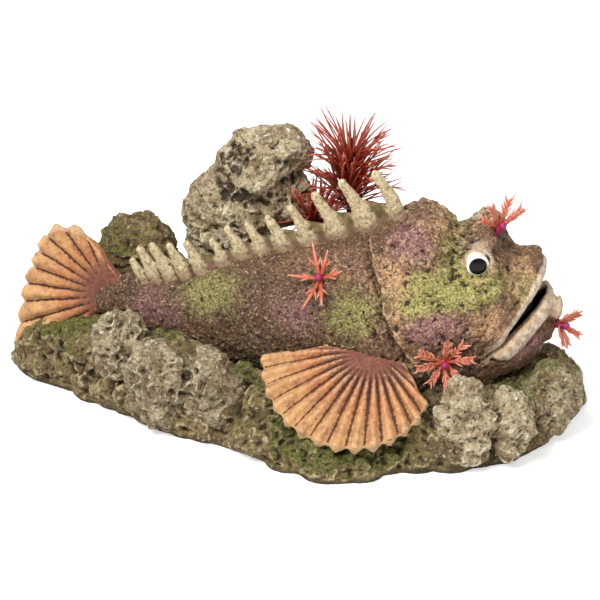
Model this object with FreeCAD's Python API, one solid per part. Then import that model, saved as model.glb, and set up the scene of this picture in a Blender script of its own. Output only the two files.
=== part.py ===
"""Bubbling aquarium ornament: a spiny rockfish resting on lava rock, with plastic
plants and a bubble-lifted flap in its mouth.

Millimetres. +X runs from tail to head, -Y is the display side, +Z is up. The origin
is the middle of the base's footprint, on the ground.
"""

import FreeCAD, Part
import math
import os

from FreeCAD import Vector

# ---------------------------------------------------------------- driving dimensions
GLUE_GAP = 0.25          # room for adhesive round every bonded piece
RESIN_WALL = 7.0         # thickness of the hollow castings
FISH_Y = 8.0             # the fish's middle plane
SEAT_Z = 18.0            # flat on the base that the fish is bonded to
POCKET_ROOM = 2.0        # room between the fish and the sides of its pocket in the rockwork

# Footprint of the base, counter-clockwise from its left end.
BASE_OUTLINE = [
    (-144, 18), (-134, 4), (-114, -5), (-92, -15), (-66, -30), (-40, -40), (-17, -49),
    (8, -61), (30, -67), (52, -55), (82, -47), (109, -31), (126, -4), (135, 22),
    (124, 47), (92, 60), (45, 65), (0, 68), (-50, 66), (-98, 58), (-128, 40),
]
# Rings of the rockwork: share of the way from the rim to the spine line, share of height.
BASE_RINGS = [(0.0, 0.22), (0.04, 0.52), (0.13, 0.80), (0.28, 1.0), (0.48, 1.0), (0.70, 1.0)]
BASE_SPINE = (-42.0, 84.0, 12.0)     # from x, to x, at y
BASE_CAP = (0.84, SEAT_Z + 1.0)      # share of the way in, height: inside the fish's seat
BASE_LOW = 15.0                      # height of the rockwork between its mounds
# Mounds of the rockwork: x, y, added height, reach along x, reach along y.
MOUNDS = [
    (-104, 4, 20, 26, 20), (-62, -10, 20, 28, 18), (-15, -12, 13, 30, 16),
    (-76, 42, 46, 26, 15), (0, 44, 22, 48, 16), (104, 4, 17, 22, 24),
    (84, -20, 11, 18, 16), (70, 46, 12, 26, 14),
]
HOLLOW = (-98.0, 96.0, -2.0, 44.0, 11.0)    # underside: x from, to, y from, to, depth

# Fish stations: x, top z, bottom z, half-width, squareness of the section.
FISH_STATIONS = [
    (-90, 51, 36, 4.5, 2.0), (-76, 54.5, 31, 8.5, 2.0), (-60, 58, 25, 13.5, 2.1),
    (-40, 64, 18, 18.5, 2.1), (-18, 73.5, 14, 22.5, 2.1), (4, 79.5, 12, 26, 2.2),
    (26, 87, 11, 29.5, 2.2), (46, 96, 12, 33, 2.3), (60, 99.5, 14, 34.5, 2.4),
    (72, 92, 17, 33.5, 2.6), (84, 96.5, 20, 30.5, 2.6), (95, 86, 25, 26, 2.6),
    (104, 83.5, 29, 20.5, 2.4), (113, 75.5, 36, 13.5, 2.2), (120, 64.5, 46, 5.5, 2.0),
]
SECTION_POINTS = 18
WIDEST_SHARE = 0.44      # height of the widest point, as a share of the section
CHAMBER_X = (-44.0, 74.0)                    # air chamber inside the fish: x from, to
WELL_X, WELL_WIDTH = (14.0, 58.0), 18.0      # its opening in the seat: x from, to, width

# Mouth, in the fish's middle plane: x, z.
UPPER_LIP_LINE = [
    (84, 37.8), (94.7, 48.5), (102.7, 59.5), (108, 67), (113, 73.5), (117, 80), (132, 94),
]
LOWER_LIP_LINE = [(132, 67), (118, 66.5), (113, 64.5), (107, 58.2), (97, 47)]
PALATE = [(68, 30), (68, 57), (83, 71), (96, 76), (104.5, 73), (106, 60), (88, 30)]
BASIN = [
    (82, 29), (82, 46), (96, 56), (107, 70), (113.5, 70), (113.5, 57), (108, 46), (94, 30),
]
MOUTH_WIDTHS = [(66, 18), (90, 20), (99, 16.5), (107, 11), (113.5, 4.5)]   # x, half-width

# Flap that the bubbles lift, and its pin.
HINGE_X, HINGE_Z = 86.5, 38.5
FLAP_ANGLE = 44.0        # slope of the flap at rest, in degrees
FLAP_LENGTH = 29.0
FLAP_ROOT_HALF, FLAP_TIP_HALF = 15.5, 6.5
FLAP_THICK, FLAP_RIM = 1.2, 2.2
PIN_R, PIN_HALF = 1.2, 18.2
KNUCKLE_R, KNUCKLE_RUN = 2.3, 0.06      # radius, running clearance on the pin
EAR_THICK, EAR_R = 1.6, 2.6

# Flap bracket: floor height, foot length and thickness, clearance beside the flap, post set-back.
BRACKET_Z, BRACKET_FOOT, BRACKET_THICK, EAR_ROOM, POST_SHIFT = 30.6, 9.0, 1.6, 0.5, 0.6

# Dorsal fin: x of each spine's root on the back, and the spine's length.
SPINES = [
    (-73, 12.6), (-66.7, 17.7), (-59.9, 18.9), (-52.7, 17), (-45, 16.2), (-34.5, 13),
    (-25.4, 16.1), (-16, 16.5), (-5.8, 17.7), (6.3, 19.8), (19.1, 22.7), (32.7, 24.7),
    (46.1, 21.5),
]
SPINE_LEAN, SPINE_SINK = 28.0, 2.0
SPINE_ROOT_SHARE, SPINE_TIP_SHARE = 0.165, 0.07    # radii as shares of the spine's length
WEB_THICK, WEB_HIGH, WEB_LOW = 3.2, 0.64, 0.30     # the last two as shares of the spines
FIN_TENON, FIN_END = 3.0, 3.0

# Tail fin, in the fish's middle plane: x, z of its outer edge from top root to bottom root.
TAIL_EDGE = [
    (-84, 56), (-92, 67), (-105, 79), (-117, 77.5), (-124, 66.5), (-130, 53), (-134, 37),
    (-136.5, 20), (-112, 29), (-84, 38),
]
TAIL_THICK, TAIL_RAYS, TAIL_RAY_R = 4.6, 8, 3.3
TENON_X, TENON_Z = (-93.0, -81.0), (39.5, 47.5)    # tongue of the tail fin in the tail root
TENON_THICK = 3.0
TAIL_FAN = (-88.0, 47.0, 42.0, 118.0, 208.0)   # centre x, z, length, first and last angle

# Pectoral fins: fan in its own plane, then tilted down from the flank.
PECTORAL_RAYS = 14
PECTORAL_ROOT_Y = 28.0   # from the fish's middle plane
RIGHT_PECTORAL = {
    "x": 39.0, "z": 41.0, "reach": 47.0, "from": 186.0, "to": 316.0, "tilt": 31.0, "side": -1,
}
LEFT_PECTORAL = {
    "x": 60.0, "z": 46.0, "reach": 34.0, "from": 205.0, "to": 318.0, "tilt": 45.0, "side": 1,
}
PECTORAL_THICK, PECTORAL_RAY_R, PECTORAL_ROOT_R = 3.0, 1.9, 9.0
PECTORAL_LONGEST, PECTORAL_SHRINK, PECTORAL_NOTCH = 1.10, 0.32, 2.0
PECTORAL_PEG_R, PECTORAL_PEG_LENGTH, PECTORAL_PEG_DROP = 3.0, 13.0, 4.5

# Rocks: x, y, bottom z, top z, half-length x, half-length y, twist.
FRONT_LEFT_ROCKS = [
    (-77, -20, 20, 53, 11.5, 10, 0.4), (-59, -31, 4, 46, 15, 12, 1.7),
    (-34, -31, 5, 43, 13, 11, 2.9),
]
FRONT_RIGHT_ROCKS = [(83, -42, 5, 43, 11.5, 9.5, 0.9), (101, -36, 6, 35, 9.5, 8.5, 2.2)]
RIGHT_END_ROCK = (119, -11, 5, 36, 9.5, 9, 3.4)
REAR_LEFT_ROCK = (-85, 40, 44, 73.5, 17, 14, 1.1)
ROCK_PROFILE = [(0.0, 0.74), (0.3, 1.0), (0.62, 0.94), (0.86, 0.70), (1.0, 0.40)]
# Tall rear rock, ring by ring: x, y, z, half-length x, half-length y.
TALL_ROCK_RINGS = [
    (-36, 46, 26, 15, 11), (-37, 46, 44, 17, 12), (-37, 44, 57, 23, 16), (-36, 43, 72, 25, 18),
    (-33, 43, 88, 23, 18), (-26, 43, 102, 20, 17), (-23, 43, 113, 15.5, 13), (-22, 43, 121, 8, 8),
]
TALL_ROCK_TWIST = 3.5
SOCKET_REACH, SOCKET_ROOM = 1.15, 0.6    # factor and margin that clear the rock's lumps
ROCK_POINTS = 12

# Eyes: a white button with a dark pupil let into it.
EYE_X, EYE_Z, EYE_SURFACE_Y = 83.0, 86.0, 23.5     # the last from the middle plane
EYE_R, EYE_DEPTH, EYE_DOME = 5.0, 4.5, 1.6
PUPIL_R, PUPIL_DOME, PUPIL_GAP, PUPIL_PROUD = 3.9, 0.8, 0.05, 0.75
EYE_TURN = 12.0          # the eyes look this many degrees forward

# Plastic sprigs: a point near the skin, outward direction, leaf length, leaves.
SPRIGS = {
    "brow_sprig": ((89.0, 3.0, 92.0), (0.45, -0.3, 0.85), 14.0, 4),
    "flank_sprig": ((13.0, -12.5, 73.0), (-0.1, -0.80, 0.6), 15.0, 6),
    "cheek_sprig": ((71.0, -25.0, 42.0), (0.1, -0.98, 0.15), 15.0, 7),
    "chin_sprig": ((119.0, 3.0, 50.5), (0.90, -0.35, 0.1), 13.0, 4),
}
LEAF_WIDTH, LEAF_THICK, LEAF_RISE = 3.4, 0.9, 0.5
SPRIG_HUB_R, SPRIG_HUB_THICK, SPRIG_STAND_OFF = 2.2, 1.8, 1.4
PEG_R, PEG_LENGTH, PEG_HEAD_R, PEG_FIT = 1.1, 8.0, 1.7, 0.05

# Red plants: x, y of the foot, height of the stem's tip, crowns as (z, radius).
TALL_PLANT = (19.0, 41.0, 120.0, [(86, 11), (96, 18), (107, 19), (117, 15)])
LOW_PLANT = (2.0, 38.0, 89.0, [(77, 6), (86, 6)])
STEM_R, STEM_TIP_R = 1.6, 1.1
PLUG_R, PLUG_DEPTH, PLUG_RISE = 2.8, 8.0, 1.5
CROWN_WALL, CROWN_RISE, CROWN_PITCH_ROOM = 1.2, 0.6, 1.8

# Air line: 4/6 mm tube, in through the back of the base and up into the fish.
TUBE_R, TUBE_BORE_R, TUBE_BEND_R = 3.0, 2.0, 8.0
INLET_X, INLET_Z, WALL_OUTER_Y, WALL_THICK = 40.0, 8.5, 61.5, 5.5
BAY_HALF, BAY_TOP = 12.0, 16.5           # room behind the wall for the grommet
INLET_RECESS_R = 7.5
GROMMET_R, GROMMET_LIP_R, GROMMET_LIP, GROMMET_BORE_R = 5.0, 6.5, 1.5, 3.25
SPIGOT_R, SPIGOT_LENGTH, SPIGOT_BORE_R, INNER_SPIGOT_R = 2.25, 14.0, 1.2, 1.9
SHANK_R, FLANGE_R, FLANGE_THICK = 3.2, 6.0, 2.0
RISER_X, RISER_HOLE_R = 33.5, 7.5        # where the tube climbs into the fish
STONE_R, STONE_LENGTH, STONE_X, STONE_Z = 6.0, 18.0, 60.0, 38.0


# ---------------------------------------------------------------- helpers
def closed_wire(points):
    """Smooth closed wire through the points."""
    curve = Part.BSplineCurve()
    curve.interpolate(Points=[Vector(*p) for p in points], PeriodicFlag=True)
    return Part.Wire(curve.toShape())


def loft(rings):
    """Closed solid skinned over closed rings of points, the first and last of them flat."""
    return Part.makeLoft([closed_wire(ring) for ring in rings], True, False)


def side_prism(points, y_from, y_to):
    """Polygon in the XZ plane, extruded along Y."""
    corners = [Vector(x, y_from, z) for x, z in points]
    face = Part.Face(Part.makePolygon(corners + corners[:1]))
    return face.extrude(Vector(0, y_to - y_from, 0))


def plan_prism(points, z_from, z_to):
    """Polygon in the XY plane, extruded along Z."""
    corners = [Vector(x, y, z_from) for x, y in points]
    face = Part.Face(Part.makePolygon(corners + corners[:1]))
    return face.extrude(Vector(0, 0, z_to - z_from))


def cylinder(radius, start, direction, length):
    return Part.makeCylinder(radius, length, Vector(*start), Vector(*direction))


def save(name, shape):
    """Writes one node's solids."""
    solids = shape.Solids
    whole = solids[0] if len(solids) == 1 else Part.makeCompound(solids)
    whole.exportStep(os.path.join("parts", name + ".step"))


# ---------------------------------------------------------------- fish casting
def fish_section(station, grow):
    """One rounded-square section of the fish, grown outwards by grow."""
    x, top, bottom, half, squareness = station
    top, bottom, half = top + grow, bottom - grow, half + grow
    middle = bottom + WIDEST_SHARE * (top - bottom)
    points = []
    for i in range(SECTION_POINTS):
        angle = 2 * math.pi * i / SECTION_POINTS
        c, s = math.cos(angle), math.sin(angle)
        y = half * math.copysign(abs(c) ** (2 / squareness), c)
        height = (top - middle) if s > 0 else (middle - bottom)
        z = height * math.copysign(abs(s) ** (2 / squareness), s)
        points.append((x, FISH_Y + y, middle + z))
    return points


def station_at(x):
    """Station of the fish at x, between the listed ones."""
    for low, high in zip(FISH_STATIONS, FISH_STATIONS[1:]):
        if low[0] <= x <= high[0]:
            share = (x - low[0]) / (high[0] - low[0])
            return [a + share * (b - a) for a, b in zip(low, high)]
    raise ValueError("x is off the fish")


def back_height(x):
    return station_at(x)[1]


def fish_form(grow=0.0):
    """The closed-mouth fish down to its seat, grown outwards by grow."""
    stations = [list(s) for s in FISH_STATIONS]
    stations[0][0] -= grow
    stations[-1][0] += grow
    form = loft([fish_section(s, grow) for s in stations])
    below = Part.makeBox(400, 200, 100, Vector(-200, -100, SEAT_Z - grow - 100))
    return form.cut(below)


def mouth_wedge():
    """What parts the jaws: everything in front of the corner, between the two lip lines."""
    return side_prism(UPPER_LIP_LINE + LOWER_LIP_LINE, -80, 100)


def jaw_region(grow=0.0):
    """Space that holds the lower jaw: in front of the mouth corner, below the upper lip."""
    corner_x = UPPER_LIP_LINE[0][0] - grow
    below = [(132, 0), (corner_x, 0)]
    return side_prism([(corner_x, UPPER_LIP_LINE[0][1])] + UPPER_LIP_LINE[1:] + below, -80, 100)


def mouth_room(profile):
    """Part of the mouth's hollow: a side profile, as wide as the mouth is at each x."""
    left = [(x, FISH_Y + half) for x, half in MOUTH_WIDTHS]
    right = [(x, FISH_Y - half) for x, half in reversed(MOUTH_WIDTHS)]
    return side_prism(profile, -80, 100).common(plan_prism(left + right, 0, 120))


def body_hollow():
    """Air chamber inside the fish, open to the seat where the air line comes up."""
    length = CHAMBER_X[1] - CHAMBER_X[0]
    inner = fish_form(-RESIN_WALL).common(Part.makeBox(length, 100, 120, Vector(CHAMBER_X[0], -50, 0)))
    corner = Vector(WELL_X[0], FISH_Y - WELL_WIDTH / 2, SEAT_Z - 5)
    well = Part.makeBox(WELL_X[1] - WELL_X[0], WELL_WIDTH, RESIN_WALL + 13, corner)
    return inner.fuse(well)


def fish_body(full, sprig_seat):
    """Hollow body and head, with the seats of everything fixed to them."""
    body = full.cut(jaw_region(GLUE_GAP))
    body = body.cut(body_hollow())
    body = body.cut(mouth_room(PALATE))
    seats = [dorsal_slot(), tail_tenon(GLUE_GAP), eye_socket(-1), eye_socket(1)]
    seats += [pectoral_peg(fin, GLUE_GAP) for fin in (RIGHT_PECTORAL, LEFT_PECTORAL)]
    seats += [sprig_peg(seat, PEG_FIT) for name, seat in sprig_seat.items() if name != "chin_sprig"]
    return body.cut(seats)


def lower_jaw(full, sprig_seat):
    jaw = full.common(jaw_region()).cut(mouth_wedge())
    return jaw.cut([mouth_room(BASIN), sprig_peg(sprig_seat["chin_sprig"], PEG_FIT)])


# ---------------------------------------------------------------- fins
def spine_ends(spine, sink=0.0):
    """Root, sunk into the back, and tip of a dorsal spine: x, z pairs."""
    x, length = spine
    lean = math.radians(SPINE_LEAN)
    root_z = back_height(x)
    tip = (x - length * math.sin(lean), root_z + length * math.cos(lean))
    return (x + sink * math.sin(lean), root_z - sink * math.cos(lean)), tip


def back_line(offset, margin=0.0):
    """Points along the dorsal fin's foot, offset up from the back."""
    first, last = SPINES[0][0] - FIN_END - margin, SPINES[-1][0] + FIN_END + margin
    places = [first] + [x for x, _ in SPINES] + [last]
    return [(x, back_height(x) + offset) for x in places]


def dorsal_web():
    """Skin between the spines: a tenon below the back, a scalloped edge above it."""
    edge = []
    for near, far in zip(SPINES, SPINES[1:]):
        for spine, share in ((near, WEB_HIGH), (far, WEB_LOW)):
            (x0, z0), (x1, z1) = spine_ends(spine)
            edge.append((x0 + share * (x1 - x0), z0 + share * (z1 - z0)))
    foot = back_line(0.5)
    floor = back_line(-FIN_TENON)
    outline = foot[:1] + edge + foot[-1:] + floor[::-1]
    return side_prism(outline, FISH_Y - WEB_THICK / 2, FISH_Y + WEB_THICK / 2)


def dorsal_slot():
    """Groove along the back that takes the fin's tenon."""
    half = WEB_THICK / 2 + GLUE_GAP
    outline = back_line(6.0, GLUE_GAP) + back_line(-FIN_TENON - GLUE_GAP, GLUE_GAP)[::-1]
    return side_prism(outline, FISH_Y - half, FISH_Y + half)


def back_prism(fish_outside):
    """The fish's middle section as a thick plate: what the spines stand on."""
    section = fish_outside.slice(Vector(0, 1, 0), FISH_Y)[0]
    reach = SPINE_ROOT_SHARE * max(length for _, length in SPINES) + 1
    return Part.Face(section).extrude(Vector(0, 2 * reach, 0)).translated(Vector(0, -reach, 0))


def dorsal_fin(fish_outside):
    spines = []
    for spine in SPINES:
        (x0, z0), (x1, z1) = spine_ends(spine, SPINE_SINK)
        run = Vector(x1 - x0, 0, z1 - z0)
        root_r, tip_r = SPINE_ROOT_SHARE * spine[1], SPINE_TIP_SHARE * spine[1]
        spines.append(Part.makeCone(root_r, tip_r, run.Length, Vector(x0, FISH_Y, z0), run))
    proud = spines[0].multiFuse(spines[1:]).cut(back_prism(fish_outside))
    return proud.fuse(dorsal_web()).removeSplitter()


def tail_plate(thick):
    curve = Part.BSplineCurve()
    curve.interpolate([Vector(x, FISH_Y - thick / 2, z) for x, z in TAIL_EDGE])
    start, end = curve.StartPoint, curve.EndPoint
    face = Part.Face(Part.Wire([curve.toShape(), Part.makeLine(end, start)]))
    return face.extrude(Vector(0, thick, 0))


def tail_tenon(grow=0.0):
    """Tongue of the tail fin inside the tail root."""
    length, height = TENON_X[1] - TENON_X[0], TENON_Z[1] - TENON_Z[0]
    corner = Vector(TENON_X[0], FISH_Y - TENON_THICK / 2 - grow, TENON_Z[0] - grow)
    return Part.makeBox(length + grow, TENON_THICK + 2 * grow, height + 2 * grow, corner)


def tail_fin(fish_outside):
    """Fan with a rib along each ray, standing proud on both faces."""
    centre_x, centre_z, length, first, last = TAIL_FAN
    rays = []
    for i in range(TAIL_RAYS):
        angle = math.radians(first + (last - first) * i / (TAIL_RAYS - 1))
        run = Vector(math.cos(angle), 0, math.sin(angle))
        root = Vector(centre_x, FISH_Y, centre_z)
        rays.append(Part.makeCone(TAIL_RAY_R * 0.5, TAIL_RAY_R, length, root, run))
    ribs = rays[0].multiFuse(rays[1:]).common(tail_plate(3 * TAIL_RAY_R))
    fin = tail_plate(TAIL_THICK).fuse(ribs).cut(fish_outside)
    return fin.fuse(tail_tenon()).removeSplitter()


def pectoral_place(fin):
    """Fan plane to fish: tilted down from the flank on its own side."""
    root = Vector(fin["x"], FISH_Y + fin["side"] * PECTORAL_ROOT_Y, fin["z"])
    return FreeCAD.Placement(root, FreeCAD.Rotation(Vector(1, 0, 0), -fin["side"] * fin["tilt"]))


def pectoral_angle(fin, share):
    """Direction of the ray at this share of the fan, in its plane."""
    angle = math.radians(fin["from"] + share * (fin["to"] - fin["from"]))
    return math.cos(angle), -fin["side"] * math.sin(angle)


def pectoral_reach(fin, share):
    """Rays shorten towards the front of the fan."""
    return fin["reach"] * (PECTORAL_LONGEST - PECTORAL_SHRINK * share ** 3)


def pectoral_fin(fin, fish_outside):
    """Scalloped fan with a rounded rib along each ray, and its peg."""
    edge = []
    for i in range(2 * PECTORAL_RAYS - 1):
        share = i / (2 * PECTORAL_RAYS - 2)
        reach = pectoral_reach(fin, share) - (PECTORAL_NOTCH if i % 2 else 0.0)
        across, out = pectoral_angle(fin, share)
        edge.append(Vector(reach * across, reach * out, 0))
    root = [Vector(x, -fin["side"] * 4, 0) for x in (PECTORAL_ROOT_R, -PECTORAL_ROOT_R)]
    outline = Part.makePolygon(edge + root + edge[:1])
    blade = Part.Face(outline).extrude(Vector(0, 0, PECTORAL_THICK))
    rays = []
    for i in range(PECTORAL_RAYS):
        share = i / (PECTORAL_RAYS - 1)
        across, out = pectoral_angle(fin, share)
        run = Vector(across, out, 0)
        start = run * 4 + Vector(0, 0, PECTORAL_THICK - PECTORAL_RAY_R * 0.3)
        length = pectoral_reach(fin, share) - 5.0
        rays.append(Part.makeCone(PECTORAL_RAY_R * 0.5, PECTORAL_RAY_R, length, start, run))
    floor = Part.makeBox(300, 300, 50, Vector(-150, -150, -50))
    fan = blade.multiFuse(rays).cut(floor)
    fan.Placement = pectoral_place(fin)
    fan = fan.cut(fish_outside)
    largest = max(fan.Solids, key=lambda s: s.Volume)
    return largest.fuse(pectoral_peg(fin)).removeSplitter()


def pectoral_peg(fin, grow=0.0):
    """Round peg that locates the fin in the fish's flank."""
    start = (fin["x"], FISH_Y + fin["side"] * (PECTORAL_ROOT_Y + 10), fin["z"] - PECTORAL_PEG_DROP)
    return cylinder(PECTORAL_PEG_R + grow, start, (0, -fin["side"], 0), PECTORAL_PEG_LENGTH + grow)


# ---------------------------------------------------------------- rockwork
def mound_height(x, y):
    height = BASE_LOW
    for mx, my, rise, reach_x, reach_y in MOUNDS:
        height += rise * math.exp(-((x - mx) / reach_x) ** 2 - ((y - my) / reach_y) ** 2)
    return height


def base_ring(share, height_share):
    """Ring of the rockwork, on the mounds."""
    points = []
    for x, y in BASE_OUTLINE:
        spine_x = min(max(x * 0.8, BASE_SPINE[0]), BASE_SPINE[1])
        px, py = x + share * (spine_x - x), y + share * (BASE_SPINE[2] - y)
        points.append((px, py, height_share * mound_height(px, py)))
    return points


def flat_ring(share, z):
    return [(x, y, z) for x, y, _ in base_ring(share, 1.0)]


def base_form():
    """Rockwork mound over the whole footprint."""
    rings = [flat_ring(0.01, 0.0)] + [base_ring(*ring) for ring in BASE_RINGS] + [flat_ring(*BASE_CAP)]
    return loft(rings)


def underside_hollow():
    """Room under the base for the air line, with rounded ends."""
    x0, x1, y0, y1, depth = HOLLOW
    radius = (y1 - y0) / 2
    middle = (y0 + y1) / 2
    slab = Part.makeBox(x1 - x0 - 2 * radius, y1 - y0, depth + 5, Vector(x0 + radius, y0, -5))
    ends = [cylinder(radius, (x, middle, -5), (0, 0, 1), depth + 5) for x in (x0 + radius, x1 - radius)]
    return slab.multiFuse(ends)


def fish_pocket():
    """Straight-sided room for the fish: its outline in plan, down to its underside and the seat."""
    ends = [FISH_STATIONS[0][0] - POCKET_ROOM, FISH_STATIONS[-1][0] + POCKET_ROOM]
    places = ends[:1] + [station[0] for station in FISH_STATIONS[1:-1]] + ends[1:]
    left, floor = [], []
    for x, (_, _, bottom, half, _) in zip(places, FISH_STATIONS):
        left.append((x, FISH_Y + half + POCKET_ROOM))
        floor.append((x, max(bottom - POCKET_ROOM, SEAT_Z - GLUE_GAP)))
    right = [(x, 2 * FISH_Y - y) for x, y in reversed(left)]
    above = [(ends[1], 130), (ends[0], 130)]
    return plan_prism(left + right, 0, 130).common(side_prism(floor + above, -80, 100))


def reef_base():
    """Hollow rockwork with a pocket for the fish, sockets for the rocks and holes for the air line."""
    base = base_form().cut(fish_pocket())
    bay_y = HOLLOW[3] - 6
    bay_depth = WALL_OUTER_Y - WALL_THICK - bay_y
    bay = Part.makeBox(2 * BAY_HALF, bay_depth, BAY_TOP + 5, Vector(INLET_X - BAY_HALF, bay_y, -5))
    rooms = [underside_hollow(), bay]
    rooms += [cylinder(GROMMET_R + PEG_FIT, (INLET_X, 50, INLET_Z), (0, 1, 0), 30)]
    rooms += [cylinder(INLET_RECESS_R, (INLET_X, WALL_OUTER_Y, INLET_Z), (0, 1, 0), 30)]
    rooms += [cylinder(RISER_HOLE_R, (RISER_X, FISH_Y, 0), (0, 0, 1), SEAT_Z + 5)]
    rooms += [tail_plate(2 * TAIL_RAY_R + 2 * GLUE_GAP).translated(Vector(0, 0, -GLUE_GAP))]
    rooms += [plant_hole(plant) for plant in (TALL_PLANT, LOW_PLANT)]
    rooms += [rock(spec, GLUE_GAP) for spec in FRONT_LEFT_ROCKS + FRONT_RIGHT_ROCKS]
    rooms += [rock(spec, GLUE_GAP) for spec in (RIGHT_END_ROCK, REAR_LEFT_ROCK)]
    rooms += [tall_rock_socket()]
    for room in rooms:
        base = base.cut(room)
    return max(base.Solids, key=lambda solid: solid.Volume)


def rock_ring(x, y, z, half_x, half_y, twist, level):
    """Lumpy ring of a rock at one level."""
    points = []
    for i in range(ROCK_POINTS):
        angle = 2 * math.pi * i / ROCK_POINTS
        lump = 1 + 0.08 * math.cos(2 * angle + twist)
        lump += 0.07 * math.cos(3 * angle + 2.3 * twist + 1.5 * level)
        points.append((x + half_x * lump * math.cos(angle), y + half_y * lump * math.sin(angle), z))
    return points


def rock(spec, grow=0.0):
    """Rounded lump of lava rock, grown outwards by grow."""
    x, y, bottom, top, half_x, half_y, twist = spec
    rings = []
    for level, girth in ROCK_PROFILE:
        z = bottom - grow + level * (top - bottom + 2 * grow)
        rings.append(rock_ring(x, y, z, girth * half_x + grow, girth * half_y + grow, twist, level))
    return loft(rings)


def rocks(specs):
    """Rocks cast together as one piece."""
    lumps = [rock(spec) for spec in specs]
    return lumps[0].multiFuse(lumps[1:])


def tall_rock():
    rings = []
    last = len(TALL_ROCK_RINGS) - 1
    for i, (x, y, z, half_x, half_y) in enumerate(TALL_ROCK_RINGS):
        rings.append(rock_ring(x, y, z, half_x, half_y, TALL_ROCK_TWIST, i / last))
    return loft(rings)


def tall_rock_socket():
    """Straight-sided hole, wider towards the top, that clears the tall rock's foot."""
    rings = []
    for x, y, z, half_x, half_y in (TALL_ROCK_RINGS[0], TALL_ROCK_RINGS[2], TALL_ROCK_RINGS[3]):
        reach_x = SOCKET_REACH * half_x + SOCKET_ROOM
        reach_y = SOCKET_REACH * half_y + SOCKET_ROOM
        points = []
        for i in range(ROCK_POINTS):
            angle = 2 * math.pi * i / ROCK_POINTS
            across, along = reach_x * math.cos(angle), reach_y * math.sin(angle)
            points.append(Vector(x + across, y + along, z - GLUE_GAP))
        rings.append(Part.makePolygon(points + points[:1]))
    return Part.makeLoft(rings, True, True)


# ---------------------------------------------------------------- eyes
def eye_frame(side):
    """Point on the head's surface and outward direction of the eye on this side."""
    turn = math.radians(EYE_TURN)
    outward = Vector(math.sin(turn), side * math.cos(turn), 0)
    return Vector(EYE_X, FISH_Y + side * EYE_SURFACE_Y, EYE_Z), outward


def eye_socket(side):
    centre, outward = eye_frame(side)
    bottom = centre - outward * (EYE_DEPTH + GLUE_GAP)
    return cylinder(EYE_R + GLUE_GAP, bottom, outward, EYE_DEPTH + 12)


def domed_button(radius, centre, outward, depth, dome):
    """Short cylinder with a domed face, turned about its axis."""
    ball_r = (radius ** 2 + dome ** 2) / (2 * dome)
    half_way = radius / 2
    crown = Vector(half_way, 0, dome - ball_r + math.sqrt(ball_r ** 2 - half_way ** 2))
    rim, top, back = Vector(radius, 0, 0), Vector(0, 0, dome), Vector(radius, 0, -depth)
    sides = Part.makePolygon([top, Vector(0, 0, -depth), back, rim])
    face = Part.Face(Part.Wire(sides.Edges + [Part.Arc(rim, crown, top).toShape()]))
    button = face.revolve(Vector(), Vector(0, 0, 1), 360)
    button.Placement = FreeCAD.Placement(centre, FreeCAD.Rotation(Vector(0, 0, 1), outward))
    return button


def eye_white(side):
    centre, outward = eye_frame(side)
    button = domed_button(EYE_R, centre, outward, EYE_DEPTH, EYE_DOME)
    return button.cut(cylinder(PUPIL_R + PUPIL_GAP, centre, outward, 10))


def eye_pupil(side):
    centre, outward = eye_frame(side)
    face = centre + outward * PUPIL_PROUD
    return domed_button(PUPIL_R, face, outward, PUPIL_PROUD - PUPIL_GAP, PUPIL_DOME)


# ---------------------------------------------------------------- plastic plants
def outward_frame(direction):
    """Unit vector outward, and two across it."""
    outward = Vector(*direction).normalize()
    across = outward.cross(Vector(0, 0, 1) if abs(outward.z) < 0.8 else Vector(1, 0, 0)).normalize()
    return outward, across, outward.cross(across)


def sprig_seats(full):
    """For each sprig, the point on the fish's skin under it and the unit vector out of it."""
    seats = {}
    for name, (point, direction, _, _) in SPRIGS.items():
        outward = Vector(*direction).normalize()
        probe = Part.makeLine(Vector(*point) + outward * 30, Vector(*point) - outward * 12).common(full)
        ends = [vertex.Point for vertex in probe.Vertexes]
        seats[name] = (max(ends, key=lambda end: end.dot(outward)), outward)
    return seats


def sprig(name, seats):
    """Whorl of flat leaves on a pierced hub."""
    centre, outward = seats[name]
    _, direction, length, leaves = SPRIGS[name]
    _, across, upright = outward_frame(direction)
    centre = centre + outward * SPRIG_STAND_OFF
    pieces = [cylinder(SPRIG_HUB_R, centre, outward, SPRIG_HUB_THICK)]
    for i in range(leaves):
        angle = 2 * math.pi * (i + 0.3) / leaves
        flat = across * math.cos(angle) + upright * math.sin(angle)
        along = (flat + outward * LEAF_RISE).normalize()
        side = along.cross(outward).normalize() * (LEAF_WIDTH / 2)
        root = centre + outward * 0.4
        widest = root + along * length * 0.6
        corners = [root - side * 0.5, widest - side, root + along * length, widest + side]
        corners += [root + side * 0.5]
        leaf = Part.Face(Part.makePolygon(corners + corners[:1]))
        pieces.append(leaf.extrude(side.cross(along).normalize() * -LEAF_THICK))
    whorl = pieces[0].multiFuse(pieces[1:])
    return whorl.cut(cylinder(PEG_R + PEG_FIT, centre - outward * 5, outward, 20)).removeSplitter()


def sprig_peg(seat, grow=0.0):
    """Push-in peg that holds a sprig, without its head."""
    centre, outward = seat
    top = SPRIG_STAND_OFF + SPRIG_HUB_THICK + 0.1
    return cylinder(PEG_R + grow, centre + outward * (top - PEG_LENGTH), outward, PEG_LENGTH)


def sprig_pegs(seats):
    pegs = []
    for centre, outward in seats.values():
        collar = centre + outward * (SPRIG_STAND_OFF + SPRIG_HUB_THICK + 0.1)
        head = Part.makeSphere(PEG_HEAD_R, collar + outward * 0.6)
        pegs.append(sprig_peg((centre, outward)).fuse(head.common(cylinder(3, collar, outward, 5))))
    return Part.makeCompound(pegs)


def plant_foot(plant):
    x, y = plant[:2]
    return mound_height(x, y) - 1.0


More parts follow.
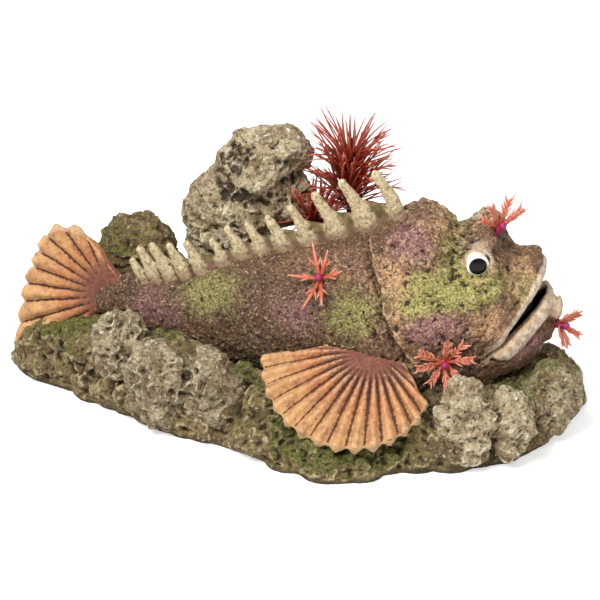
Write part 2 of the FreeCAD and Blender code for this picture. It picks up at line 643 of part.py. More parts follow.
def plant_hole(plant):
    x, y = plant[:2]
    bottom = plant_foot(plant) - PLUG_DEPTH - GLUE_GAP
    return cylinder(PLUG_R + GLUE_GAP, (x, y, bottom), (0, 0, 1), PLUG_DEPTH + 8)


def plant_stem(plant):
    """Tapering stem on a plug."""
    x, y, tip, _ = plant
    foot = plant_foot(plant)
    plug = cylinder(PLUG_R, (x, y, foot - PLUG_DEPTH), (0, 0, 1), PLUG_DEPTH + PLUG_RISE)
    return plug.fuse(Part.makeCone(STEM_R, STEM_TIP_R, tip - foot, Vector(x, y, foot)))


def plant_crowns(plant):
    """Flared whorls of strands, each a thin cup on a collar that fits the stem."""
    x, y, _, crowns = plant
    cups = []
    for z, radius in crowns:
        rise = radius * CROWN_RISE
        collar, bore = STEM_R + 1.0, STEM_R + 0.1
        lip = [(radius, rise), (radius - CROWN_WALL, rise + 0.4)]
        profile = [(bore, 0), (collar, 0)] + lip + [(collar, CROWN_PITCH_ROOM), (bore, CROWN_PITCH_ROOM)]
        corners = [Vector(x + r, y, z + h) for r, h in profile]
        face = Part.Face(Part.makePolygon(corners + corners[:1]))
        cups.append(face.revolve(Vector(x, y, 0), Vector(0, 0, 1), 360))
    return Part.makeCompound(cups)


# ---------------------------------------------------------------- mouth and air line
def flap_frame():
    """Placement that turns a flap drawn along +X to its slope on the hinge line."""
    turn = FreeCAD.Rotation(Vector(0, 1, 0), -FLAP_ANGLE)
    return FreeCAD.Placement(Vector(HINGE_X, FISH_Y, HINGE_Z), turn)


def mouth_flap():
    """Shallow upturned tray that traps air, on a knuckle."""
    outline = [(0, -FLAP_ROOT_HALF), (12, -FLAP_ROOT_HALF + 0.8), (FLAP_LENGTH, -FLAP_TIP_HALF)]
    outline += [(x, -y) for x, y in reversed(outline)]
    plate = plan_prism(outline, 0, FLAP_THICK + FLAP_RIM)
    inset = [(x * 0.94 + 1.2, y * 0.88) for x, y in outline]
    tray = plate.cut(plan_prism(inset, -1, FLAP_RIM))
    barrel = cylinder(KNUCKLE_R, (0, -FLAP_ROOT_HALF, 0), (0, 1, 0), 2 * FLAP_ROOT_HALF)
    bore = cylinder(PIN_R + KNUCKLE_RUN, (0, -20, 0), (0, 1, 0), 40)
    flap = tray.fuse(barrel).cut(bore).removeSplitter()
    flap.Placement = flap_frame()
    return flap


def flap_pin():
    return cylinder(PIN_R, (HINGE_X, FISH_Y - PIN_HALF, HINGE_Z), (0, 1, 0), 2 * PIN_HALF)


def mouth_insert():
    """Bracket in the lower jaw with an ear at each end of the pin."""
    ear_at = FLAP_ROOT_HALF + EAR_ROOM
    corner = Vector(HINGE_X - 2, FISH_Y - ear_at - EAR_THICK, BRACKET_Z)
    base = Part.makeBox(BRACKET_FOOT, 2 * (ear_at + EAR_THICK), BRACKET_THICK, corner)
    ears = []
    for side in (-1, 1):
        y = FISH_Y + side * ear_at - (EAR_THICK if side < 0 else 0)
        foot = Vector(HINGE_X - EAR_R + POST_SHIFT, y, BRACKET_Z)
        post = Part.makeBox(2 * EAR_R, EAR_THICK, HINGE_Z - BRACKET_Z, foot)
        ears += [post, cylinder(EAR_R, (HINGE_X, y, HINGE_Z), (0, 1, 0), EAR_THICK)]
    hole = cylinder(PIN_R + 0.02, (HINGE_X, -40, HINGE_Z), (0, 1, 0), 100)
    return base.multiFuse(ears).cut(hole).removeSplitter()


def tube_corners():
    """Corners of the tube's middle line from the inlet, under the base and up to the air stone."""
    start_y = WALL_OUTER_Y - WALL_THICK - GROMMET_LIP - 1
    corners = [
        (INLET_X, start_y, INLET_Z), (INLET_X, start_y - 10, INLET_Z),
        (INLET_X - 1.5, start_y - 20, INLET_Z - 2.5), (RISER_X, FISH_Y, INLET_Z - 2.5),
        (RISER_X + 1, FISH_Y, STONE_Z - 11), (STONE_X - 13, FISH_Y, STONE_Z), (STONE_X - 2, FISH_Y, STONE_Z),
    ]
    return [Vector(*corner) for corner in corners]


def tube_ring(place, direction):
    """Cut face of the tube."""
    outer, bore = [Part.Wire(Part.makeCircle(r, place, direction)) for r in (TUBE_R, TUBE_BORE_R)]
    return Part.Face(outer).cut(Part.Face(bore)).Faces[0]


def air_tube():
    """Straight lengths joined by round bends."""
    corners = tube_corners()
    pieces, place = [], corners[0]
    for corner, after in zip(corners[1:-1], corners[2:]):
        along, onward = (corner - place).normalize(), (after - corner).normalize()
        turn = along.getAngle(onward)
        trim = TUBE_BEND_R * math.tan(turn / 2)
        bend_start = corner - along * trim
        pieces.append(tube_ring(place, along).extrude(bend_start - place))
        axis = along.cross(onward).normalize()
        centre = bend_start + axis.cross(along) * TUBE_BEND_R
        pieces.append(tube_ring(bend_start, along).revolve(centre, axis, math.degrees(turn)))
        place = corner + onward * trim
    pieces.append(tube_ring(place, onward).extrude(corners[-1] - place))
    return pieces[0].multiFuse(pieces[1:]).removeSplitter()


def air_stone():
    """Porous stone with its nipple in the tube."""
    stone = cylinder(STONE_R, (STONE_X, FISH_Y, STONE_Z), (1, 0, 0), STONE_LENGTH)
    stone = stone.makeFillet(1.5, stone.Edges)
    nipple = cylinder(TUBE_BORE_R - 0.1, (STONE_X - 6, FISH_Y, STONE_Z), (1, 0, 0), 7)
    return stone.fuse(nipple)


def air_inlet():
    """Connector through the back of the base, with a spigot for the user's tube."""
    flange_y = WALL_OUTER_Y + GROMMET_LIP + 0.05
    inner_y = WALL_OUTER_Y - WALL_THICK - GROMMET_LIP
    shank = cylinder(SHANK_R, (INLET_X, inner_y, INLET_Z), (0, 1, 0), flange_y - inner_y)
    flange = cylinder(FLANGE_R, (INLET_X, flange_y, INLET_Z), (0, 1, 0), FLANGE_THICK)
    spigot = cylinder(SPIGOT_R, (INLET_X, flange_y, INLET_Z), (0, 1, 0), FLANGE_THICK + SPIGOT_LENGTH)
    inner = cylinder(INNER_SPIGOT_R, (INLET_X, inner_y - 6, INLET_Z), (0, 1, 0), 7)
    bore = cylinder(SPIGOT_BORE_R, (INLET_X, 0, INLET_Z), (0, 1, 0), 100)
    return shank.multiFuse([flange, spigot, inner]).cut(bore).removeSplitter()


def inlet_grommet():
    """Rubber ring, lipped on both sides of the wall."""
    inner_y = WALL_OUTER_Y - WALL_THICK - GROMMET_LIP
    neck = cylinder(GROMMET_R, (INLET_X, inner_y, INLET_Z), (0, 1, 0), WALL_THICK + 2 * GROMMET_LIP)
    lips = [cylinder(GROMMET_LIP_R, (INLET_X, y, INLET_Z), (0, 1, 0), GROMMET_LIP)
            for y in (inner_y, WALL_OUTER_Y)]
    bore = cylinder(GROMMET_BORE_R, (INLET_X, 0, INLET_Z), (0, 1, 0), 100)
    return neck.multiFuse(lips).cut(bore).removeSplitter()


def main():
    os.makedirs("parts", exist_ok=True)
    full = fish_form()
    outside = fish_form(GLUE_GAP)
    seats = sprig_seats(full)
    save("fish_body", fish_body(full, seats))
    save("lower_jaw", lower_jaw(full, seats))
    save("dorsal_fin", dorsal_fin(outside))
    save("tail_fin", tail_fin(outside))
    save("right_pectoral_fin", pectoral_fin(RIGHT_PECTORAL, outside))
    save("left_pectoral_fin", pectoral_fin(LEFT_PECTORAL, outside))
    save("reef_base", reef_base())
    save("front_left_rocks", rocks(FRONT_LEFT_ROCKS))
    save("front_right_rocks", rocks(FRONT_RIGHT_ROCKS))
    save("right_end_rock", rock(RIGHT_END_ROCK))
    save("rear_left_rock", rock(REAR_LEFT_ROCK))
    save("rear_tall_rock", tall_rock())
    for side, word in ((-1, "right"), (1, "left")):
        save(word + "_eye_white", eye_white(side))
        save(word + "_eye_pupil", eye_pupil(side))
    for name in SPRIGS:
        save(name, sprig(name, seats))
    save("sprig_pegs", sprig_pegs(seats))
    for plant, name in ((TALL_PLANT, "tall_red_plant"), (LOW_PLANT, "low_red_plant")):
        save(name + "_stem", plant_stem(plant))
        save(name + "_crowns", plant_crowns(plant))
    save("mouth_flap", mouth_flap())
    save("flap_pin", flap_pin())
    save("mouth_insert", mouth_insert())
    save("air_tube", air_tube())
    save("air_stone", air_stone())
    save("air_inlet", air_inlet())
    save("inlet_grommet", inlet_grommet())


main()
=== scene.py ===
"""Looks of the bubbling ornament: a painted resin rockfish on lava rock, with plastic
plants and a flap in its mouth. Sculpting is in millimetres; Blender's objects are in metres.
"""

import math
import random

import bpy
import numpy as np
from mathutils import Matrix, Vector, noise


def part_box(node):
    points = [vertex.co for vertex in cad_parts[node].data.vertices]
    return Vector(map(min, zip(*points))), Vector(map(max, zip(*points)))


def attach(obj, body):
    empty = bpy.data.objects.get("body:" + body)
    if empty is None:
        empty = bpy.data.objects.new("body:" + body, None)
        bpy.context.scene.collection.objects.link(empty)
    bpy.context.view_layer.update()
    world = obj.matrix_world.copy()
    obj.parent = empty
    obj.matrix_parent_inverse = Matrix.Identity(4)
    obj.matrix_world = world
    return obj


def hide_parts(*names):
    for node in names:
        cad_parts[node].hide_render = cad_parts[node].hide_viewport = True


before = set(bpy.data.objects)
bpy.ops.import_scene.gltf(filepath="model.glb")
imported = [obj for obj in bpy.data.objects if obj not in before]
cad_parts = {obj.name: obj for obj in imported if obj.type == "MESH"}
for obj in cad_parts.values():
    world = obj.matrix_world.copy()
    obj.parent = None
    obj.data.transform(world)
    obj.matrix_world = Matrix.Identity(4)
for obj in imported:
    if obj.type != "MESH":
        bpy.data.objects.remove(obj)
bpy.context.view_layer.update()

MM = 0.001
FISH_VOXEL, SPINE_VOXEL, TAIL_VOXEL, PECTORAL_VOXEL = 0.62, 0.5, 0.55, 0.5      # remesh grids
ROCK_VOXEL, BASE_VOXEL = 0.6, 1.0
NEAR_ROUNDS, FAR_ROUNDS = 3, 24  # smoothing rounds that tell small and wide hollows

# The fish. Places are in the part's frame; "out" is the distance from the fish's middle plane.
FISH_Y = 8.0                     # the middle plane
FISH_PLUGS = [                   # boxes that close the casting's openings, corner to corner
    ((12, -3, 18), (60, 19, 24)),            # well in the belly
    ((65, -16, 27), (72, 32, 62)),           # doorway from the air chamber to the mouth
    ((81, -8, 24), (87, 24, 31)),            # seam behind the jaw
]
FISH_LUMPS = [                   # ellipsoids melted into the casting: centre, reach
    ((-88, FISH_Y, 44), (11, 5.5, 9.5)), ((114.5, FISH_Y, 56), (5.0, 8.5, 5.5)),
    ((-80, FISH_Y, 50), (10, 5, 9)),
]
GILL_EDGE = [(36, 84), (41.6, 72), (43.5, 63), (49.3, 51), (54, 43), (63, 37)]      # x, z
SECOND_CREASE = [(34, 61), (37, 56), (41, 49), (44, 41)]
UPPER_LIP = [(84, 37.8), (94.7, 48.5), (102.7, 59.5), (108, 67), (113, 73.5), (117, 80)]
LOWER_LIP = [(97, 47), (107, 58.2), (113, 64.0), (117.5, 65.5), (121.5, 60)]
MOUTH_WIDTH = (66, 90, 99, 107, 113.5), (18, 20, 16.5, 11, 4.5)      # x, half-width
MOUTH_ROOF = (68, 83, 96, 103, 106, 112), (57, 71, 76, 74, 68, 72)    # x, z
MOUTH_FLOOR = (68, 84, 94, 108, 113.5), (30, 29, 30, 46, 58)          # x, z
EYE = (83.0, 23.5, 86.0)         # x, out, z
HEAD_LUMPS = [                   # centre (x, out, z), reach, height
    ((82, 19, 94.5), (8, 5, 3.5), 2.6),      # brow
    ((96, 14, 82), 1.9, -2.0),               # nostril
    ((99.5, 11, 80.5), 2.4, 1.3),            # knobs beside the nostril
    ((92.5, 15, 85), 2.6, 1.2),
    ((88, 22, 74), (9, 9, 3.2), 1.6),        # ridge below the eye
    ((72, 28, 73), (12, 9, 4), 1.2),
    ((66, 30, 60), (14, 12, 9), 1.4),        # cheek
    ((57, 14, 96), (6, 7, 5), 1.6),          # nape
    ((72, 18, 88), (3, 10, 9), -1.0),        # dip behind the brow
]
SKIN_PATCHES = {                 # centre (x, out, z), reach, strength
    "violet": [((54, 18, 92), (12, 16, 8), 1.2), ((66, 32, 60), (14, 16, 9), 1.2),
               ((-64, 9, 46), (14, 14, 9), 1.2), ((3, 22, 56), (14, 14, 9), 1.1),
               ((104, 16, 43), (9, 16, 8), 1.0), ((24, 20, 80), (12, 12, 7), 0.4)],
    "green": [((78, 28, 78), (21, 16, 9), 1.3), ((56, 30, 72), (12, 14, 8), 1.1),
              ((-40, 13, 60), (14, 14, 11), 1.2), ((28, 27, 59), (11, 14, 12), 1.1),
              ((104, 10, 72), (7, 14, 8), 0.7), ((68, 10, 92), (10, 14, 8), 0.6)],
    "peach": [((46, 24, 80), (8, 14, 9), 1.1), ((88, 26, 60), (11, 15, 7), 1.1),
              ((49, 32, 60), (5, 12, 14), 0.7), ((14, 20, 76), (16, 14, 6), 0.5),
              ((64, 10, 98), (9, 12, 6), 0.7), ((101, 14, 78), (9, 15, 9), 0.7)],
}
PATCH_COLOURS = (                # patch, light and dark shade
    # the first patch is the lower body's colour and also painted shade on every downward-facing side
    ("belly_and_underside_shade", "#7a6848", "#4d3f28"), ("violet", "#b58080", "#7d5052"),
    ("green", "#c4bf6e", "#828043"), ("peach", "#dcae86", "#b08658"),
)

# The fins.
TAIL_FAN = (-88.0, 47.0, 118.0, 208.0, 8)       # centre x, z, first and last angle, rays
SPINES = [                       # x of the root on the back, length
    (-73, 12.6), (-66.7, 17.7), (-59.9, 18.9), (-52.7, 17), (-45, 16.2), (-34.5, 13),
    (-25.4, 16.1), (-16, 16.5), (-5.8, 17.7), (6.3, 19.8), (19.1, 22.7), (32.7, 24.7),
    (46.1, 21.5),
]
SPINE_LEAN = math.radians(28)
SPINE_FOOT, SPINE_TAPER = 1.15, 0.5             # thickness at the foot, and how much is lost to the tip
BEADS, LAST_BEAD = 9, 0.94                      # ellipsoids that make a spine, and the last one's place
PECTORAL_RAYS = 14
PECTORALS = {                    # centre x, y, z, first and last angle, tilt, side
    "right_pectoral_fin": (39.0, -20.0, 41.0, 186.0, 316.0, 31.0, -1),
    "left_pectoral_fin": (60.0, 36.0, 46.0, 205.0, 318.0, 45.0, 1),
}

# The rockwork: ellipsoids melted into each piece, as centre and reach.
BASE_ROUNDNESS = 0.5             # depth of the base over its length
RIM_HEIGHT = 6                   # points below this height show the rim's outline
BASE_LUMPS = [
    ((-118, 8, 16), (20, 12, 15)), ((118, 10, 16), (12, 15, 20)), ((-104, 20, 24), (22, 16, 16)),
    ((52, -24, 10), (24, 9, 9)), ((2, -26, 14), (16, 10, 10)), ((104, -14, 16), (14, 12, 12)),
    ((-46, -16, 16), (20, 9, 12)), ((-94, -4, 22), (16, 11, 14)),
]
RIM_BOULDERS = 46
RIM_ROWS = (0.89, 7, 12), (0.78, 12, 13), (0.64, 15, 13)       # share of the way out, height, size
BASE_BULK, ROCK_BULK = 2.8, 3.6  # height of the uneven lumps
ROCK_LUMPS = {
    "front_left_rocks": [((-78, -21, 36), (13, 10, 14)), ((-58, -33, 26), (17, 12, 18)),
                         ((-34, -33, 24), (15, 10, 15))],
    "front_right_rocks": [((84, -43, 24), (13, 9, 15)), ((102, -37, 20), (12, 9, 13))],
    "right_end_rock": [((120, -11, 24), (13, 11, 14))],
    "rear_left_rock": [((-84, 40, 58), (20, 15, 14))],
    "rear_tall_rock": [((-17, 43, 108), (17, 14, 13)), ((-46, 42, 80), (15, 15, 15)),
                       ((-22, 44, 88), (24, 18, 17))],
}
TALL_ROCK_DENTS = [              # centre, reach, depth
    ((-36, 32, 108), (8, 10, 8), 4.5), ((-30, 24, 93), (16, 8, 3.5), 2.5),
]
MOSS_DRIFTS = [                  # x, y, z, reach
    (-112, -2, 30, 22), (-20, -24, 33, 12), (15, -52, 12, 26), (46, -44, 12, 20),
    (104, -20, 30, 14), (122, -8, 36, 12), (-98, 34, 60, 22), (-55, -2, 40, 14), (60, 50, 24, 30),
]

# The plastic plants. Widths run from a blade's root to its tip.
SPRIGS = {   # outward direction, middle of the fan of arms, its spread, arms, arm length, forks
    "brow_sprig": ((0.35, -0.85, 0.4), (-0.25, 0.0, 1.0), 140, 4, 14.0, 4),
    "flank_sprig": ((-0.1, -0.80, 0.6), (0.0, 0.0, 1.0), 360, 6, 17.0, 1),
    "cheek_sprig": ((0.1, -0.98, 0.15), (-0.7, 0.0, -0.5), 360, 8, 14.0, 4),
    "chin_sprig": ((0.70, -0.65, 0.1), (0.6, 0.2, -0.3), 300, 7, 12.0, 4),
}
ARM_WIDTHS = [1.5, 2.0, 2.2, 2.0, 1.6, 1.1, 0.4]
TWIG_WIDTHS = [1.3, 1.3, 0.9, 0.3]
STRAND_WIDTHS = [1.2, 1.35, 1.5, 1.5, 1.45, 1.3, 1.1, 0.8, 0.3]
ARM_THICK, TWIG_THICK, STRAND_THICK = 0.9, 0.8, 0.7
HUB_SINK, HUB_WIDTHS = 2.2, [4.4, 4.0]          # depth of a sprig's hub below its arms' middle
RED_PLANTS = {                   # tiers, strands in each tier, strand length
    "tall_red_plant": (6, 36, 27), "low_red_plant": (4, 28, 22),
}

# The stage, in metres and watts.
FLOOR_REACH = 4.0
LAMPS = (                        # name, place, power, size
    ("key", (-0.35, -0.65, 1.0), 13.5, 0.5), ("fill", (0.8, -0.5, 0.6), 2.0, 0.8),
    ("back", (0.2, 0.9, 0.9), 3.0, 0.8),
)
SKY_LIGHT, FLOOR_LIFT = 0.42, 0.5
CAMERA_AIM = Vector((0.002, 0.0, 0.055))
CAMERA_AZIMUTH, CAMERA_ELEVATION, CAMERA_DISTANCE, CAMERA_LENS = 9.0, 27.0, 0.766, 100.0


# ------------------------------------------------------------------ shapes of numbers
def ramp(values, low, high):
    """0 below low, 1 above high, smooth between."""
    share = np.clip((values - low) / (high - low), 0.0, 1.0)
    return share * share * (3.0 - 2.0 * share)


def bell(values, width):
    """1 at zero, falling off smoothly on both sides."""
    return np.exp(-(values / width) ** 2)


def blob(points, centre, reach):
    """1 at the centre, falling off like a bell; reach is one number or one per axis."""
    return np.exp(-(((points - np.array(centre)) / reach) ** 2).sum(axis=1))


def clouds(points, size, octaves, seed):
    """Fractal noise about zero, with features of this size."""
    places = (points / size + seed).tolist()
    return np.array([noise.fractal(p, 1.0, 2.0, octaves) for p in places])


def cells(points, size, seed):
    """Distance to the nearest point of a random scatter, and to the second nearest, in cell sizes."""
    places = (points / size + seed).tolist()
    found = [noise.voronoi(p)[0] for p in places]
    near = np.array([(d[0], d[1]) for d in found])
    return near[:, 0], near[:, 1]


def line_distance(x, z, line):
    """Distance from each (x, z) to a polyline, positive on the right of its way along."""
    best = np.full(len(x), 1e9)
    side = np.ones(len(x))
    for (x0, z0), (x1, z1) in zip(line, line[1:]):
        run_x, run_z = x1 - x0, z1 - z0
        share = np.clip(((x - x0) * run_x + (z - z0) * run_z) / (run_x ** 2 + run_z ** 2), 0, 1)
        off_x, off_z = x - x0 - share * run_x, z - z0 - share * run_z
        gap = np.hypot(off_x, off_z)
        nearer = gap < best
        best = np.where(nearer, gap, best)
        side = np.where(nearer, np.sign(run_z * off_x - run_x * off_z), side)
    return best * side


# ------------------------------------------------------------------ meshes
def new_piece(name, mesh, replaced):
    """A piece fixed to the root body, from a mesh in metres, in place of the nodes it replaces."""
    piece = bpy.data.objects.new(name, mesh)
    bpy.context.scene.collection.objects.link(piece)
    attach(piece, "root")
    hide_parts(*replaced)
    return piece


def box_mesh(low, high):
    """Box between two corners in millimetres."""
    corners = [(x * MM, y * MM, z * MM) for x in (low[0], high[0]) for y in (low[1], high[1])
               for z in (low[2], high[2])]
    faces = [(0, 1, 3, 2), (4, 6, 7, 5), (0, 4, 5, 1), (2, 3, 7, 6), (0, 2, 6, 4), (1, 5, 7, 3)]
    mesh = bpy.data.meshes.new("plug")
    mesh.from_pydata(corners, [], faces)
    return mesh


def lump_mesh(centre, reach):
    """Ellipsoid in millimetres, to be melted into a remesh."""
    rows, around = 8, 14
    points, faces = [], []
    for i in range(rows + 1):
        polar = math.pi * (0.02 + 0.96 * i / rows)
        for j in range(around):
            turn = 2 * math.pi * j / around
            unit = (math.sin(polar) * math.cos(turn), math.sin(polar) * math.sin(turn), math.cos(polar))
            points.append([(c + r * u) * MM for c, r, u in zip(centre, reach, unit)])
    for i in range(rows):
        for j in range(around):
            a, b = i * around + j, i * around + (j + 1) % around
            faces.append((a, a + around, b + around, b))
    faces.append(tuple(range(around)))
    faces.append(tuple(reversed(range(rows * around, (rows + 1) * around))))
    mesh = bpy.data.meshes.new("lump")
    mesh.from_pydata(points, [], faces)
    return mesh


class Clay:
    """Fine closed mesh over some source meshes, sculpted as an array of points in millimetres."""

    def __init__(self, name, sources, voxel, smoothing):
        points, faces = [], []
        for source in sources:
            start = len(points)
            points += [tuple(v.co) for v in source.vertices]
            faces += [tuple(start + i for i in p.vertices) for p in source.polygons]
        rough = bpy.data.meshes.new(name)
        rough.from_pydata(points, [], faces)
        holder = bpy.data.objects.new(name + ".source", rough)
        bpy.context.scene.collection.objects.link(holder)
        remesh = holder.modifiers.new("Voxels", "REMESH")
        remesh.mode = "VOXEL"
        remesh.voxel_size = voxel * MM
        graph = bpy.context.evaluated_depsgraph_get()
        self.mesh = bpy.data.meshes.new_from_object(holder.evaluated_get(graph))
        self.mesh.name = name
        bpy.data.objects.remove(holder)
        count = len(self.mesh.vertices)
        flat = np.empty(count * 3)
        self.mesh.vertices.foreach_get("co", flat)
        self.points = flat.reshape(-1, 3) / MM
        edges = np.empty(len(self.mesh.edges) * 2, np.int32)
        self.mesh.edges.foreach_get("vertices", edges)
        self.edges = edges.reshape(-1, 2)
        self.degree = np.bincount(edges, minlength=count).clip(1)
        self.points = self.smoothed(self.points, smoothing)
        self.store()

    def smoothed(self, values, rounds):
        """Each point's value averaged with its neighbours, this many times."""
        a, b = self.edges[:, 0], self.edges[:, 1]
        count = len(values)
        table = values.reshape(count, -1)
        for _ in range(rounds):
            sums = [np.bincount(a, column[b], count) + np.bincount(b, column[a], count)
                    for column in table.T]
            table = 0.5 * table + 0.5 * (np.array(sums) / self.degree).T
        return table.reshape(values.shape)

    def store(self):
        self.mesh.vertices.foreach_set("co", (self.points * MM).astype(np.float32).ravel())
        self.mesh.update()

    def normals(self):
        self.store()
        flat = np.empty(len(self.points) * 3, np.float32)
        self.mesh.vertices.foreach_get("normal", flat)
        return flat.reshape(-1, 3).astype(float)

    def push(self, amounts):
        """Moves every point out along its normal."""
        self.points = self.points + self.normals() * np.asarray(amounts)[:, None]

    def depth(self, rounds):
        """How far each point lies below its smoothed surroundings."""
        return ((self.smoothed(self.points, rounds) - self.points) * self.normals()).sum(axis=1)

    def paint(self, name, values):
        """Stores a mask from 0 to 1 that a material reads by name."""
        layer = self.mesh.attributes.new(name, "FLOAT", "POINT")
        layer.data.foreach_set("value", np.clip(values, 0, 1).astype(np.float32))

    def finish(self, replaced, slot, material):
        """Turns the clay into a smooth piece."""
        self.store()
        self.mesh.materials.clear()
        self.mesh.materials.append(material)
        self.mesh.polygons.foreach_set("use_smooth", [True] * len(self.mesh.polygons))
        return new_piece(self.mesh.name, self.mesh, replaced)


def cad_mesh(node):
    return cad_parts[node].data


def cad_points(node):
    return np.array([v.co for v in cad_mesh(node).vertices]).reshape(-1, 3) / MM


# ------------------------------------------------------------------ materials
def colour(code):
    """Linear RGBA from a web colour."""
    parts = [int(code[i:i + 2], 16) / 255 for i in (1, 3, 5)]
    return [p / 12.92 if p <= 0.04045 else ((p + 0.055) / 1.055) ** 2.4 for p in parts] + [1.0]


class Look:
    """One node material, built up with short calls."""

    def __init__(self, name, roughness=0.6, **inputs):
        self.material = bpy.data.materials.new(name)
        self.material.use_nodes = True
        self.tree = self.material.node_tree
        self.surface = self.tree.nodes["Principled BSDF"]
        self.surface.inputs["Roughness"].default_value = roughness
        for key, value in inputs.items():
            self.surface.inputs[key.replace("_", " ")].default_value = value
        self.place = self.tree.nodes.new("ShaderNodeTexCoord").outputs["Object"]

    def node(self, kind, outputs, settings=None, **inputs):
        """Adds a node, sets or links its inputs, and gives the named output."""
        made = self.tree.nodes.new(kind)
        for key, value in (settings or {}).items():
            setattr(made, key, value)
        for key, value in inputs.items():
            self.plug(value, made.inputs[key.replace("_", " ")])
        return made.outputs[outputs]

    def plug(self, value, socket):
        if isinstance(value, bpy.types.NodeSocket):
            self.tree.links.new(value, socket)
        else:
            socket.default_value = value

    def mask(self, name):
        """A mask painted on the mesh."""
        return self.node("ShaderNodeAttribute", "Fac", {"attribute_name": name})

    def noise(self, size, detail=4.0, roughness=0.6):
        return self.node("ShaderNodeTexNoise", "Fac", Vector=self.place, Scale=1 / (size * MM),
                         Detail=detail, Roughness=roughness)

    def cells(self, size):
        return self.node("ShaderNodeTexVoronoi", "Distance", Vector=self.place, Scale=1 / (size * MM))

    def spread(self, value, low, high, to_low=0.0, to_high=1.0):
        """Maps low to high onto another range, smoothly and clamped."""
        made = self.tree.nodes.new("ShaderNodeMapRange")
        made.interpolation_type = "SMOOTHSTEP"
        for index, number in enumerate((value, low, high, to_low, to_high)):
            self.plug(number, made.inputs[index])
        return made.outputs["Result"]

    def sum(self, operation, a, b):
        made = self.tree.nodes.new("ShaderNodeMath")
        made.operation = operation
        self.plug(a, made.inputs[0])
        self.plug(b, made.inputs[1])
        return made.outputs[0]

    def mix(self, share, a, b):
        """Goes from a to b, each a web colour or another node's output."""
        made = self.tree.nodes.new("ShaderNodeMix")
        made.data_type = "RGBA"
        self.plug(share, made.inputs["Factor"])
        for value, socket in ((a, made.inputs[6]), (b, made.inputs[7])):
            self.plug(colour(value) if isinstance(value, str) else value, socket)
        return made.outputs[2]

    def bump(self, height, strength, distance):
        normal = self.node("ShaderNodeBump", "Normal", Height=height, Strength=strength,
                           Distance=distance * MM)
        self.plug(normal, self.surface.inputs["Normal"])

    def finish(self, base, roughness=None):
        self.plug(base, self.surface.inputs["Base Color"])
        if roughness is not None:
            self.plug(roughness, self.surface.inputs["Roughness"])
        return self.material


def skin_look():
    """Painted fish skin: brown base, dry-brushed tan, violet, green and peach patches, dark paint with
    painted shade in hollows, painted highlights on ridges and painted shade on the undersides.
    """
    look = Look("painted_fish_skin", Specular_IOR_Level=0.35)
    grain = look.noise(1.1, 6, 0.8)
    granule = look.cells(1.0)
    base = look.mix(look.spread(look.noise(9, 4, 0.65), 0.38, 0.62), "#60422f", "#84603f")
    base = look.mix(look.spread(look.noise(4.5, 3), 0.45, 0.7, 0.0, 0.7), base, "#765044")
    for name, shade, deep in PATCH_COLOURS:
        ragged = look.spread(look.noise(3.0, 5, 0.75), 0.3, 0.7, -0.35, 0.35)
        edge = look.sum("ADD", look.mask(name), ragged)
        tint = look.mix(look.spread(grain, 0.35, 0.62), deep, shade)
        base = look.mix(look.spread(edge, 0.1, 0.9, 0.0, 0.92), base, tint)
    base = look.mix(look.spread(look.mask("flank"), 0.0, 1.0, 0.0, 0.38), base, "#3a2a1e")
    pale = look.mix(look.spread(look.noise(3, 4), 0.38, 0.62), "#c0a083", "#eddcc6")
    base = look.mix(look.mask("pale"), base, pale)
    base = look.mix(look.spread(grain, 0.52, 0.68, 0.0, 0.9), base, look.mix(0.55, base, "#f6dfb6"))
    # ridges: dry-brushed tan that is also a painted highlight
    base = look.mix(look.spread(look.mask("ridge"), 0.25, 0.9, 0.0, 0.55), base, "#dcb98a")
    keep = look.spread(look.mask("pale"), 0.2, 0.9, 1.0, 0.3)
    seams = look.sum("MULTIPLY", look.spread(granule, 0.45, 0.8, 0.0, 0.45), keep)
    base = look.mix(seams, base, "#3a2a1e")
    specks = look.sum("MULTIPLY", look.spread(grain, 0.35, 0.49, 0.8, 0.0), keep)
    base = look.mix(specks, base, "#38281b")
    # hollows: dark paint that is also painted shade
    base = look.mix(look.spread(look.mask("wash_and_shade"), 0.15, 0.85, 0.0, 0.9), base, "#20170f")
    base = look.mix(look.mask("inside"), base, "#080706")
    look.bump(look.sum("SUBTRACT", grain, granule), 0.7, 0.5)
    return look.finish(base, look.spread(grain, 0.3, 0.7, 0.75, 0.5))


def rock_look(name, low, high, light, moss_share):
    """Lava rock: dark pits that are partly paint and partly painted shade, pale ridges that are partly
    wear and partly painted highlight, and dusty moss.
    """
    look = Look(name, Specular_IOR_Level=0.25)
    grain = look.noise(1.5, 6, 0.75)
    base = look.mix(look.spread(look.noise(8, 4, 0.65), 0.35, 0.65), low, high)
    base = look.mix(look.spread(look.noise(3.2, 5, 0.7), 0.5, 0.72, 0.0, 0.55), base, light)
    moss = look.mix(look.spread(look.noise(0.9, 4, 0.7), 0.35, 0.65), "#3a3d1a", "#83853f")
    ragged = look.spread(look.noise(4, 6, 0.75), 0.3, 0.7, -0.45, 0.45)
    moss_edge = look.sum("ADD", look.mask("moss"), ragged)
    # ridges: pale wear that is also a painted highlight
    base = look.mix(look.spread(look.mask("ridge"), 0.25, 0.95, 0.0, 0.85), base, light)
    base = look.mix(look.spread(moss_edge, 0.3, 0.9, 0.0, moss_share), base, moss)
    base = look.mix(look.spread(look.noise(5, 5, 0.7), 0.36, 0.5, 0.4, 0.0), base, "#57452d")
    base = look.mix(look.spread(grain, 0.34, 0.52, 0.85, 0.0), base, "#3a2f1f")
    base = look.mix(look.spread(grain, 0.56, 0.7, 0.0, 0.5), base, light)
    # hollows: dark paint that is also painted shade
    base = look.mix(look.spread(look.mask("wash_and_shade"), 0.1, 0.8, 0.0, 0.88), base, "#2a2116")
    base = look.mix(look.mask("rim"), base, "#2f2a20")
    look.bump(look.sum("ADD", grain, look.cells(1.2)), 0.8, 0.6)
    return look.finish(base, 0.85)


